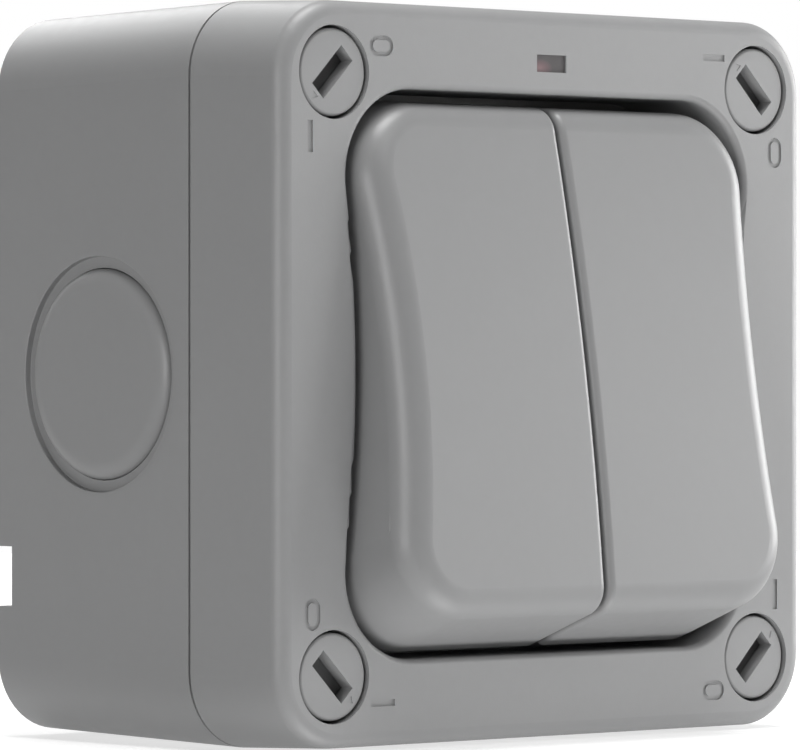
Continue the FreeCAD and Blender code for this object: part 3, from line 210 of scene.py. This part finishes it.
def raise_flat(bm, faces, depth):
    """Extrudes flat faces, drawn in X and Y, to both sides of the drawing plane."""
    bmesh.ops.translate(bm, verts=bm.verts, vec=(0, 0, -depth))
    grown = bmesh.ops.extrude_face_region(bm, geom=faces)
    lifted = [item for item in grown["geom"] if isinstance(item, bmesh.types.BMVert)]
    bmesh.ops.translate(bm, verts=lifted, vec=(0, 0, depth + CUTTER_OVERHANG))
    bmesh.ops.recalc_face_normals(bm, faces=bm.faces)


def oval_sign(width, height):
    """A closed groove round an oval with straight long sides."""
    bm = bmesh.new()
    short = min(width, height) / 2
    stretch = (max(width, height) / 2) - short
    bmesh.ops.create_circle(bm, cap_ends=True, segments=OVAL_SEGMENTS, radius=short)
    bmesh.ops.rotate(bm, verts=bm.verts, matrix=Matrix.Rotation(math.pi / OVAL_SEGMENTS, 3, "Z"))
    for way in (1, -1):
        half = [vert for vert in bm.verts if vert.co.y * way > 0]
        bmesh.ops.translate(bm, verts=half, vec=(0, way * stretch, 0))
    if width > height:
        bmesh.ops.rotate(bm, verts=bm.verts, matrix=Matrix.Rotation(math.pi / 2, 3, "Z"))
    middle = list(bm.faces)
    stroke = bmesh.ops.inset_region(bm, faces=middle, thickness=SIGN_STROKE, use_boundary=True,
                                    use_even_offset=True)["faces"]
    bmesh.ops.delete(bm, geom=middle, context="FACES")
    raise_flat(bm, stroke, SIGN_DEPTH)
    return bm


def bar_sign(width, height):
    """A plain short bar."""
    bm = bmesh.new()
    bmesh.ops.create_grid(bm, x_segments=1, y_segments=1, size=0.5)
    bmesh.ops.scale(bm, verts=bm.verts, vec=(width, height, 1))
    raise_flat(bm, list(bm.faces), SIGN_DEPTH)
    return bm


def onto_face(bm, x, y, z):
    """Stands a drawing up on a plane that looks to the front, with its middle at this place."""
    bmesh.ops.rotate(bm, verts=bm.verts, matrix=Matrix.Rotation(math.pi / 2, 3, "X"))
    bmesh.ops.translate(bm, verts=bm.verts, vec=(x, y, z))


def add_to(whole, bm):
    """Moves one bmesh into another."""
    scratch = bpy.data.meshes.new("scratch")
    bm.to_mesh(scratch)
    bm.free()
    whole.from_mesh(scratch)
    bpy.data.meshes.remove(scratch)


# %% Cut the signs
CORNERS = {"top_left": (-1, 1), "top_right": (1, 1), "bottom_left": (-1, -1), "bottom_right": (1, -1)}
CORNER = (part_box("fastener_top_right")[0].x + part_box("fastener_top_right")[1].x) / 2
# Kind, place from the fastener's axis across and up, width and height, all in millimetres
SIGNS = {
    "top_left": [("oval", 8.2, 3.6, 4.1, 2.65), ("bar", -4.1, -8.3, 0.9, 4.1)],
    "top_right": [("bar", -8.1, 4.1, 4.1, 0.9), ("oval", 3.75, -8.5, 2.65, 4.1)],
    "bottom_left": [("oval", -3.7, 8.1, 2.65, 4.1), ("bar", 8.5, -3.6, 4.1, 0.9)],
    "bottom_right": [("bar", 3.8, 8.5, 0.9, 4.1), ("oval", -8.2, -4.2, 4.1, 2.65)],
}

all_signs = bmesh.new()
for corner, (across, upward) in CORNERS.items():
    for kind, x, z, width, height in SIGNS[corner]:
        draw = oval_sign if kind == "oval" else bar_sign
        sign = draw(width * MM, height * MM)
        onto_face(sign, across * CORNER + x * MM, FACE_Y, upward * CORNER + z * MM)
        add_to(all_signs, sign)
cover = carve("cover_with_signs", "front_cover", new_object("sign_cutters", all_signs))
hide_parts("front_cover")
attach(cover, "switch")

# %% [markdown]
# ## Pointers on the fasteners
# One end of each slot carries a small arrowhead that points at the bar while the fastener is locked. It's a
# very shallow triangle, cut the same way, and it turns with its fastener because the cut copy rides on the
# fastener's own body. A tightened fastener's head lies only a little below the cover, so the copy's front is
# drawn forward, and the floor of its slot follows part of the way.

# %% Cut the pointers
POINTER_AT = 4.35 * MM
POINTER_SIZE = 0.62 * MM
POINTER_DEPTH = 0.08 * MM
HEAD_SINK = 0.35 * MM
HEAD_FRONT = (0, 1.3 * MM)
HEAD_FRONT_LIFT = 0.35 * MM
SLOT_FLOOR = (2.6 * MM, 3.0 * MM)
SLOT_FLOOR_LIFT = 0.15 * MM
LOCKED_TURNS = {"top_left": 225, "top_right": 135, "bottom_left": 315, "bottom_right": 45}


def lift_front(point):
    """Draws a fastener's front forward, and the floor of its slot a little."""
    depth = point.y - FACE_Y
    lift = 0
    if HEAD_FRONT[0] < depth < HEAD_FRONT[1]:
        lift = HEAD_FRONT_LIFT
    elif SLOT_FLOOR[0] < depth < SLOT_FLOOR[1]:
        lift = SLOT_FLOOR_LIFT
    return point - Vector((0, lift, 0))


for corner, (across, upward) in CORNERS.items():
    arrow = bmesh.new()
    bmesh.ops.create_circle(arrow, cap_ends=True, segments=3, radius=POINTER_SIZE)
    bmesh.ops.rotate(arrow, verts=arrow.verts, matrix=Matrix.Rotation(-math.pi / 2, 3, "Z"))
    bmesh.ops.translate(arrow, verts=arrow.verts, vec=(POINTER_AT, 0, 0))
    raise_flat(arrow, list(arrow.faces), POINTER_DEPTH)
    turn = Matrix.Rotation(math.radians(LOCKED_TURNS[corner]), 3, "Z")
    bmesh.ops.rotate(arrow, verts=arrow.verts, matrix=turn)
    onto_face(arrow, across * CORNER, FACE_Y + HEAD_SINK, upward * CORNER)
    node = f"fastener_{corner}"
    head = carve(f"{node}_marked", node, new_object("pointer_cutter", arrow), lift_front)
    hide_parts(node)
    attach(head, node)

# %% [markdown]
# ## The conduit entries
# Each of the four walls has a round entry closed by a plug with a rounded edge. A shallow ring is sunk around
# the plug. The ring is the floor of a collar, whose cross-section is drawn as a loop of points and spun round
# the entry's axis. The walls lean in a little towards the back, so the collar is sheared to lie flush with its
# wall. The plug's copy is the CAD plug with a slightly smaller, flatter and prouder head.

# %% Collars and plugs
WALL_DRAFT = 0.75
WALL_LENGTH = 39.8
WALL_LEAN = WALL_DRAFT / WALL_LENGTH
WALL_HALF = 47.75 * MM
ENTRY_Y = (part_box("entry_plug_left")[0].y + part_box("entry_plug_left")[1].y) / 2
ENTRY_FACE = WALL_HALF - WALL_LEAN * ENTRY_Y
# Radius from the entry's axis and height over the wall, in millimetres
LIP = (15.5, 0.01)
RING_OUTSIDE = (15.5, -0.95)
RING_INSIDE = (13.93, -0.95)
SECTION = [(16.03, 0.01), LIP, RING_OUTSIDE, RING_INSIDE, (13.93, -3.65), (15.98, -3.65), (15.98, -0.03)]
SOFT_EDGES = {LIP: 0.12, RING_OUTSIDE: 0.1, RING_INSIDE: 0.08}
SOFT_SEGMENTS = 4
SHEARED_ABOVE = -2 * MM
COLLAR_STEPS = 144
HEAD_RIM = 11.9 * MM
HEAD_SHRINK = 0.55 * MM
HEAD_RAISE = 0.42 * MM
EDGE_DEPTH = 2.4 * MM
EDGE_HEIGHT_KEPT = 0.55
SMOOTH_UNDER = math.radians(32)
ENTRIES = {"left": (-1, 0, 0), "right": (1, 0, 0), "top": (0, 0, 1), "bottom": (0, 0, -1)}


def collar_mesh():
    """The ring round an entry, with the entry's axis along Z and the wall's front end along X."""
    bm = bmesh.new()
    loop = [bm.verts.new((radius * MM, 0, height * MM)) for radius, height in SECTION]
    for first, second in zip(loop, loop[1:] + loop[:1]):
        bm.edges.new((first, second))
    bmesh.ops.spin(bm, geom=list(bm.verts) + list(bm.edges), axis=(0, 0, 1), cent=(0, 0, 0), steps=COLLAR_STEPS,
                   angle=2 * math.pi, use_merge=True)
    bmesh.ops.recalc_face_normals(bm, faces=bm.faces)
    for (radius, height), size in SOFT_EDGES.items():
        rim = [edge for edge in bm.edges if all(
            abs(vert.co.xy.length - radius * MM) < MERGE_DISTANCE and abs(vert.co.z - height * MM) < MERGE_DISTANCE
            for vert in edge.verts)]
        bmesh.ops.bevel(bm, geom=rim, offset=size * MM, segments=SOFT_SEGMENTS, profile=0.5, affect="EDGES",
                        material=-1)
    lean = Matrix.Identity(4)
    lean[2][0] = WALL_LEAN
    bmesh.ops.transform(bm, matrix=lean, verts=[vert for vert in bm.verts if vert.co.z > SHEARED_ABOVE])
    return bm


def fit_head(side, outward):
    """A function that raises a plug's face, flattens its rounded edge and draws its rim in towards its axis."""
    face = max(corner.dot(outward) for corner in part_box(f"entry_plug_{side}"))

    def move(point):
        offset = point - Vector((0, ENTRY_Y, 0))
        offset -= outward * offset.dot(outward)
        depth = face - point.dot(outward)
        if depth < EDGE_DEPTH:
            point = point + outward * (HEAD_RAISE + depth * (1 - EDGE_HEIGHT_KEPT))
        return point - offset.normalized() * HEAD_SHRINK if offset.length > HEAD_RIM else point
    return move


def shade_round(piece):
    """Smooth shading that leaves flat faces flat and keeps the sharp edges."""
    piece.data.polygons.foreach_set("use_smooth", [True] * len(piece.data.polygons))
    piece.data.set_sharp_from_angle(angle=SMOOTH_UNDER)
    weighted = piece.modifiers.new("flat_faces_stay_flat", "WEIGHTED_NORMAL")
    weighted.keep_sharp = True


collars = []
plugs = []
frontward = Vector((0, -1, 0))
for side, direction in ENTRIES.items():
    outward = Vector(direction)
    bm = collar_mesh()
    stand = Matrix((frontward, outward.cross(frontward), outward)).transposed().to_4x4()
    entry = Matrix.Translation(outward * ENTRY_FACE + Vector((0, ENTRY_Y, 0)))
    bmesh.ops.transform(bm, matrix=entry @ stand, verts=bm.verts)
    collar = new_object(f"entry_collar_{side}", bm)
    shade_round(collar)
    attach(collar, "switch")
    collars.append(collar)
    plug = new_object(f"entry_plug_{side}_fitted", merged_copy(f"entry_plug_{side}", fit_head(side, outward)))
    shade_round(plug)
    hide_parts(f"entry_plug_{side}")
    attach(plug, "switch")
    plugs.append(plug)
print("collars", len(collars), "plugs", len(plugs))

# %% [markdown]
# ## One skin for all the mouldings
# Outdoor mouldings get a fine spark-eroded grain from the mould, about a hundredth of a millimetre deep, and
# their grey is a little cloudy where the pigment isn't mixed perfectly. Several materials need this, so it's
# a node group with its own inputs: the size and depth of the grain, and the strength of the clouds. It reads
# Object coordinates, so the pattern stays on the piece. It gives back a colour, a roughness and a normal,
# which each material feeds to its own Principled shader.

# %% Moulded skin group
def group_sockets(group, inputs, outputs):
    """Named inputs with defaults, and named outputs, for a shader node group."""
    for name, kind, default in inputs:
        socket = group.interface.new_socket(name=name, in_out="INPUT", socket_type=kind)
        socket.default_value = default
    for name, kind in outputs:
        group.interface.new_socket(name=name, in_out="OUTPUT", socket_type=kind)
    return group.nodes.new("NodeGroupInput"), group.nodes.new("NodeGroupOutput")


def noise(tree, coordinate, scale, detail=2.0, roughness=0.5):
    """A noise texture on a coordinate; the scale is a number or another node's output."""
    texture = tree.nodes.new("ShaderNodeTexNoise")
    texture.inputs["Detail"].default_value = detail
    texture.inputs["Roughness"].default_value = roughness
    if isinstance(scale, (int, float)):
        texture.inputs["Scale"].default_value = scale
    else:
        tree.links.new(scale, texture.inputs["Scale"])
    tree.links.new(coordinate, texture.inputs["Vector"])
    return texture.outputs["Fac"]


def math_node(tree, operation, first, second):
    """A Math node; each operand is a number or another node's output."""
    node = tree.nodes.new("ShaderNodeMath")
    node.operation = operation
    for socket, operand in zip(node.inputs, (first, second)):
        if isinstance(operand, (int, float)):
            socket.default_value = operand
        else:
            tree.links.new(operand, socket)
    return node.outputs[0]


def remap(tree, value, low, high, low_out, high_out):
    """Stretches a value's range to another."""
    node = tree.nodes.new("ShaderNodeMapRange")
    for name, amount in (("From Min", low), ("From Max", high), ("To Min", low_out), ("To Max", high_out)):
        node.inputs[name].default_value = amount
    tree.links.new(value, node.inputs["Value"])
    return node.outputs["Result"]


def spread(tree, pattern, low_out, high_out):
    """Stretches the middle of a noise, where most of it lies, to a range."""
    return remap(tree, pattern, *NOISE_MIDDLE, low_out, high_out)


def tint(tree, color, amount):
    """Multiplies a colour, given as a tuple or another node's output, by a grey value."""
    node = tree.nodes.new("ShaderNodeMix")
    node.data_type = "RGBA"
    node.blend_type = "MULTIPLY"
    node.inputs["Factor"].default_value = 1
    color_inputs = [socket for socket in node.inputs if socket.type == "RGBA"]
    if isinstance(color, tuple):
        color_inputs[0].default_value = (*color, 1)
    else:
        tree.links.new(color, color_inputs[0])
    tree.links.new(amount, color_inputs[1])
    return next(socket for socket in node.outputs if socket.type == "RGBA")


def object_place(tree):
    """The place on the piece, in the piece's own coordinates."""
    return tree.nodes.new("ShaderNodeTexCoord").outputs["Object"]


def place_along_y(tree):
    """How far front or back a place on the piece lies."""
    parts = tree.nodes.new("ShaderNodeSeparateXYZ")
    tree.links.new(object_place(tree), parts.inputs[0])
    return parts.outputs["Y"]


NOISE_MIDDLE = (0.3, 0.7)
CLOUD_SCALE = 55
BLOTCH_SCALE = 700
PEEL_SCALE = 160
BLOTCH_ROUGHNESS = 0.12

skin_group = bpy.data.node_groups.new("moulded_skin", "ShaderNodeTree")
skin_in, skin_out = group_sockets(
    skin_group,
    [("Color", "NodeSocketColor", (0.3, 0.3, 0.3, 1)), ("Roughness", "NodeSocketFloat", 0.45),
     ("Grain Scale", "NodeSocketFloat", 5200), ("Grain Depth", "NodeSocketFloat", 8e-6),
     ("Clouds", "NodeSocketFloat", 0.03)],
    [("Color", "NodeSocketColor"), ("Roughness", "NodeSocketFloat"), ("Normal", "NodeSocketVector")])
place = object_place(skin_group)
clouds = noise(skin_group, place, CLOUD_SCALE, detail=4)
blotches = noise(skin_group, place, BLOTCH_SCALE, detail=3)
cloud_shift = math_node(skin_group, "SUBTRACT", clouds, 0.5)
blotch_shift = math_node(skin_group, "SUBTRACT", blotches, 0.5)
mixed = math_node(skin_group, "ADD", cloud_shift, blotch_shift)
shift = math_node(skin_group, "MULTIPLY", mixed, skin_in.outputs["Clouds"])
brightness = math_node(skin_group, "ADD", shift, 1.0)
skin_group.links.new(tint(skin_group, skin_in.outputs["Color"], brightness), skin_out.inputs["Color"])
rough_shift = math_node(skin_group, "MULTIPLY", blotch_shift, BLOTCH_ROUGHNESS)
skin_group.links.new(math_node(skin_group, "ADD", skin_in.outputs["Roughness"], rough_shift),
                     skin_out.inputs["Roughness"])
grain = noise(skin_group, place, skin_in.outputs["Grain Scale"], detail=3, roughness=0.6)
peel = noise(skin_group, place, PEEL_SCALE, detail=1)
height = math_node(skin_group, "ADD", grain, peel)
bump = skin_group.nodes.new("ShaderNodeBump")
bump.inputs["Strength"].default_value = 1
skin_group.links.new(height, bump.inputs["Height"])
skin_group.links.new(skin_in.outputs["Grain Depth"], bump.inputs["Distance"])
skin_group.links.new(bump.outputs["Normal"], skin_out.inputs["Normal"])
print("moulded_skin nodes", len(skin_group.nodes))

# %% [markdown]
# ## Plastics
# The four outside plastics are the same mid grey. They differ in their grain: the box and cover are finely
# eroded, the rockers are polished a little more, because fingers wipe them, and the plugs and fasteners lie
# between. The floor of a fastener's slot is painted darker, as painted shade where little light reaches. The
# inner mouldings are a pale thermoset and a natural nylon.

# %% Plastic materials
def new_material(name):
    """An empty material with its Principled shader."""
    material = bpy.data.materials.new(name)
    material.use_nodes = True
    return material, material.node_tree, material.node_tree.nodes["Principled BSDF"]


def use_skin(tree, shader, color, roughness, scale, depth, clouds_amount):
    """Adds the moulded skin to a material and joins it to the shader."""
    skin = tree.nodes.new("ShaderNodeGroup")
    skin.node_tree = skin_group
    skin.inputs["Color"].default_value = (*color, 1)
    skin.inputs["Roughness"].default_value = roughness
    skin.inputs["Grain Scale"].default_value = scale
    skin.inputs["Grain Depth"].default_value = depth
    skin.inputs["Clouds"].default_value = clouds_amount
    tree.links.new(skin.outputs["Color"], shader.inputs["Base Color"])
    tree.links.new(skin.outputs["Roughness"], shader.inputs["Roughness"])
    tree.links.new(skin.outputs["Normal"], shader.inputs["Normal"])
    return skin


# Painted shade on a fastener slot's floor: the colour darkens from full at the first depth under the face to the
# tone at the second
PAINTED_SHADE_FROM = 2.3 * MM
PAINTED_SHADE_TO = 2.6 * MM
PAINTED_SHADE_TONE = 0.3
# Name, colour, roughness, grain scale, grain depth in metres, strength of the clouds
PLASTICS = {
    "housing": ("eroded_grey_housing", (0.276, 0.277, 0.279), 0.42, 5200, 9e-6, 0.05),
    "rocker": ("satin_grey_rocker", (0.260, 0.261, 0.263), 0.36, 6500, 4e-6, 0.03),
    "fastener": ("satin_grey_fastener", (0.272, 0.273, 0.275), 0.38, 6000, 6e-6, 0.04),
    "plug": ("satin_grey_plug", (0.276, 0.277, 0.279), 0.36, 5600, 7e-6, 0.04),
    "module": ("pale_thermoset", (0.72, 0.72, 0.69), 0.35, 4000, 4e-6, 0.05),
    "nylon": ("natural_nylon", (0.78, 0.76, 0.69), 0.38, 5000, 5e-6, 0.05),
    "rubber": ("black_seal_rubber", (0.035, 0.035, 0.037), 0.62, 3000, 1.5e-5, 0.25),
}

finishes = {}
for slot_name, (material_name, color, roughness, scale, depth, clouds_amount) in PLASTICS.items():
    material, tree, shader = new_material(material_name)
    skin = use_skin(tree, shader, color, roughness, scale, depth, clouds_amount)
    if slot_name == "fastener":
        # Painted shade: the fastener's colour is darkened deep in its slot
        painted_shade = remap(tree, place_along_y(tree), FACE_Y + PAINTED_SHADE_FROM, FACE_Y + PAINTED_SHADE_TO, 1.0, PAINTED_SHADE_TONE)
        tree.links.new(tint(tree, skin.outputs["Color"], painted_shade), shader.inputs["Base Color"])
    finishes[slot_name] = material
    print(material_name)

# %% [markdown]
# ## Metals
# Brass blades and steel pins are drawn or stamped, which leaves fine lines along one direction. The lines are
# noise on coordinates that a Mapping node stretches along Z, and they change the roughness as well as the
# height. A faint tarnish darkens the colour in patches.

# %% Metal materials
METALS = {
    "brass": ("stamped_brass", (0.78, 0.58, 0.27), 0.30),
    "steel": ("zinc_plated_steel", (0.60, 0.61, 0.62), 0.34),
    "silver": ("silver_contact", (0.82, 0.81, 0.78), 0.24),
}
LINE_SCALE = (9000, 9000, 250)
LINE_DEPTH = 2e-6
LINE_ROUGHNESS = (-0.06, 0.08)
TARNISH_SCALE = 420
TARNISH_RANGE = (0.35, 0.75)
TARNISH_TONE = 0.82

for slot_name, (material_name, color, roughness) in METALS.items():
    material, tree, shader = new_material(material_name)
    shader.inputs["Metallic"].default_value = 1
    place = object_place(tree)
    stretch = tree.nodes.new("ShaderNodeMapping")
    stretch.inputs["Scale"].default_value = LINE_SCALE
    tree.links.new(place, stretch.inputs["Vector"])
    lines = noise(tree, stretch.outputs["Vector"], 1.0)
    tarnish = remap(tree, noise(tree, place, TARNISH_SCALE, detail=4), *TARNISH_RANGE, 1.0, TARNISH_TONE)
    tree.links.new(tint(tree, color, tarnish), shader.inputs["Base Color"])
    smooth, rough = (roughness + change for change in LINE_ROUGHNESS)
    tree.links.new(spread(tree, lines, smooth, rough), shader.inputs["Roughness"])
    scratches = tree.nodes.new("ShaderNodeBump")
    scratches.inputs["Distance"].default_value = LINE_DEPTH
    tree.links.new(lines, scratches.inputs["Height"])
    tree.links.new(scratches.outputs["Normal"], shader.inputs["Normal"])
    finishes[slot_name] = material
    print(material_name)

# %% [markdown]
# ## The indicator
# The window over the rockers is smoked plastic. Behind it lies a small neon lamp, unlit here, and one
# sees only a dull pink glint of its holder in one corner. That glint is a painted glint in the dark, glossy pane's
# colour: the holder's pink and the light on it, painted in and fading with the distance from the corner. The lamp
# is clear glass with a thin brownish film, and the resistor beside it is lacquered, with coloured rings.

# %% Indicator materials
WINDOW = [(low + high) / 2 for low, high in zip(*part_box("indicator_lens"))]
# Painted glint: the pane's colour is pink and lighter near this point by one corner, and dark further off
GLINT_OFFSET = (-1.9 * MM, -0.6 * MM)
GLINT_SCALE = (420, 420, 800)
GLINT_TONES = [(0.0, (0.26, 0.165, 0.175)), (0.55, (0.17, 0.12, 0.127)), (1.0, (0.105, 0.098, 0.1))]
HAZE_SCALE = 900
PANE_ROUGHNESS = (0.14, 0.24)
FILM_SCALE = 300
FILM_TONES = [(0.3, (0.92, 0.88, 0.84)), (0.7, (0.86, 0.78, 0.72))]
FILM_ROUGHNESS = (0.03, 0.1)
LACQUER = (0.66, 0.52, 0.34)
RINGS = [(0.0, LACQUER), (0.2, (0.35, 0.16, 0.06)), (0.28, LACQUER), (0.38, (0.02, 0.02, 0.02)), (0.46, LACQUER),
         (0.56, (0.62, 0.3, 0.04)), (0.64, LACQUER), (0.8, (0.55, 0.42, 0.14)), (0.88, LACQUER)]
GLOSS_SCALE = 800
LACQUER_ROUGHNESS = (0.2, 0.35)


def distance_from(tree, point, scale):
    """How far a place on the piece lies from a point, in stretched units."""
    centre = tree.nodes.new("ShaderNodeMapping")
    centre.inputs["Location"].default_value = [-place * factor for place, factor in zip(point, scale)]
    centre.inputs["Scale"].default_value = scale
    tree.links.new(object_place(tree), centre.inputs["Vector"])
    length = tree.nodes.new("ShaderNodeVectorMath")
    length.operation = "LENGTH"
    tree.links.new(centre.outputs["Vector"], length.inputs[0])
    return length.outputs["Value"]


def ramp(tree, value, stops, interpolation="LINEAR"):
    """A colour ramp with these (place, colour) stops."""
    node = tree.nodes.new("ShaderNodeValToRGB")
    node.color_ramp.interpolation = interpolation
    elements = node.color_ramp.elements
    while len(elements) < len(stops):
        elements.new(0.5)
    for element, (position, color) in zip(elements, stops):
        element.position = position
        element.color = (*color, 1)
    tree.links.new(value, node.inputs["Fac"])
    return node.outputs["Color"]


lens, tree, shader = new_material("smoked_window")
glint_at = (WINDOW[0] + GLINT_OFFSET[0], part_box("indicator_lens")[0].y, WINDOW[2] + GLINT_OFFSET[1])
# Painted glint in the pane's base colour
tree.links.new(ramp(tree, distance_from(tree, glint_at, GLINT_SCALE), GLINT_TONES), shader.inputs["Base Color"])
haze = noise(tree, object_place(tree), HAZE_SCALE, detail=3)
tree.links.new(spread(tree, haze, *PANE_ROUGHNESS), shader.inputs["Roughness"])
shader.inputs["Coat Weight"].default_value = 0.5
shader.inputs["Coat Roughness"].default_value = 0.08
finishes["lens"] = lens

glass, tree, shader = new_material("lamp_glass")
shader.inputs["Transmission Weight"].default_value = 0.85
shader.inputs["IOR"].default_value = 1.5
film = noise(tree, object_place(tree), FILM_SCALE, detail=2)
tree.links.new(ramp(tree, film, FILM_TONES), shader.inputs["Base Color"])
tree.links.new(spread(tree, film, *FILM_ROUGHNESS), shader.inputs["Roughness"])
finishes["lamp_glass"] = glass

resistor, tree, shader = new_material("ringed_resistor")
low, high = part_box("lamp_resistor")
share = remap(tree, place_along_y(tree), low.y, high.y, 0, 1)
tree.links.new(ramp(tree, share, RINGS, "CONSTANT"), shader.inputs["Base Color"])
gloss = noise(tree, object_place(tree), GLOSS_SCALE)
tree.links.new(spread(tree, gloss, *LACQUER_ROUGHNESS), shader.inputs["Roughness"])
finishes["resistor"] = resistor
print("indicator finishes", lens.name, glass.name, resistor.name)

# %% [markdown]
# ## Finishes onto pieces
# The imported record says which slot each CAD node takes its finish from. Every shown mesh gets the material of
# its slot, and the new pieces get theirs by name.

# %% Assign the materials
def dress(piece, material):
    """Gives a piece this one material."""
    piece.data.materials.clear()
    piece.data.materials.append(material)


slots_used = {part["node"]: part["material_slot"] for part in frame["record"]["subparts"]}
for node, slot_name in slots_used.items():
    dress(nodes[node], finishes[slot_name])
for piece in (cover, *collars):
    dress(piece, finishes["housing"])
for piece in plugs:
    dress(piece, finishes["plug"])
for corner in CORNERS:
    dress(bpy.data.objects[f"fastener_{corner}_marked"], finishes["fastener"])
print("dressed", len(slots_used), "nodes with", len(finishes), "finishes")

# %% [markdown]
# ## The studio
# The switch stands on a pale floor in white surroundings. Two large lamps stand to the right, low and near, so
# the light grazes the front: the right-hand edges are bright, and every slot and gap stays dark, the floors of
# the fastener slots darker still with painted shade. A weaker lamp lights the left wall, one stands in front and
# above, and one hangs over the switch and brightens the floor, which throws light back up. One more shines up
# through the floor, which casts no shadow itself, onto the faces that look down, and the last lamp stands
# behind. The floor and the surroundings are white to the camera and dimmer in reflections, and hardly light the
# object, so that the lamps shape it, apart from the painted shade in the fastener slots and the painted glint.

# %% Floor, world and lamps
FLOOR_HALF = 0.6
FLOOR_COLOR = (0.5, 0.5, 0.5)
FLOOR_ROUGHNESS = 0.9
FLOOR_LIFT = 0.62
IN_REFLECTIONS = 0.3
AMBIENT = 0.02

floor_mesh = bmesh.new()
bmesh.ops.create_grid(floor_mesh, x_segments=1, y_segments=1, size=FLOOR_HALF)
bmesh.ops.translate(floor_mesh, verts=floor_mesh.verts, vec=(0, 0, cad_box[0][2]))
floor = new_object("floor", floor_mesh)
floor.visible_shadow = False


def seen_directly(tree):
    """1 for rays from the camera or through glass, less in a reflection, 0 for the rays that light a surface."""
    path = tree.nodes.new("ShaderNodeLightPath")
    mirrored = math_node(tree, "MULTIPLY", path.outputs["Is Glossy Ray"], IN_REFLECTIONS)
    total = math_node(tree, "ADD", path.outputs["Is Camera Ray"], mirrored)
    return math_node(tree, "MINIMUM", math_node(tree, "ADD", total, path.outputs["Is Transmission Ray"]), 1.0)


material, tree, shader = new_material("pale_floor")
shader.inputs["Base Color"].default_value = (*FLOOR_COLOR, 1)
shader.inputs["Roughness"].default_value = FLOOR_ROUGHNESS
shader.inputs["Specular IOR Level"].default_value = 0
shader.inputs["Emission Color"].default_value = (1, 1, 1, 1)
tree.links.new(math_node(tree, "MULTIPLY", seen_directly(tree), FLOOR_LIFT), shader.inputs["Emission Strength"])
dress(floor, material)

world = bpy.data.worlds.new("studio")
bpy.context.scene.world = world
world.use_nodes = True
tree = world.node_tree
background = tree.nodes["Background"]
background.inputs["Color"].default_value = (1, 1, 1, 1)
tree.links.new(remap(tree, seen_directly(tree), 0, 1, AMBIENT, 1.0), background.inputs["Strength"])


def add_lamp(name, turn, height, distance, size, strength):
    """A square lamp that looks at the switch. At strength 1 it makes a white card there as bright as white."""
    turn, height = math.radians(turn), math.radians(height)
    toward = Vector((math.sin(turn) * math.cos(height), -math.cos(turn) * math.cos(height), math.sin(height)))
    lamp_data = bpy.data.lights.new(name, "AREA")
    lamp_data.shape = "SQUARE"
    lamp_data.size = size
    lamp_data.energy = strength * (math.pi * distance) ** 2
    lamp = bpy.data.objects.new(name, lamp_data)
    lamp.location = LOOK_AT + toward * distance
    lamp.rotation_euler = toward.to_track_quat("Z", "Y").to_euler()
    lamp.visible_camera = False
    bpy.context.scene.collection.objects.link(lamp)


# Turn to the right and height in degrees, distance and size in metres, strength
LAMPS = {
    "lamp_right_front": (64, 2, 0.85, 0.45, 0.48),
    "lamp_right_back": (85, 6, 0.85, 0.50, 0.52),
    "lamp_left": (-70, 3, 1.2, 0.6, 0.38),
    "lamp_top_front": (10, 48, 1.2, 0.6, 0.14),
    "lamp_over": (10, 85, 1.0, 0.6, 1.2),
    "lamp_below": (20, -62, 1.1, 0.6, 0.68),
    "lamp_behind": (165, 25, 1.3, 0.8, 0.5),
}
for name, setting in LAMPS.items():
    add_lamp(name, *setting)
    print(name, setting)

bpy.context.scene.view_settings.view_transform = "Standard"
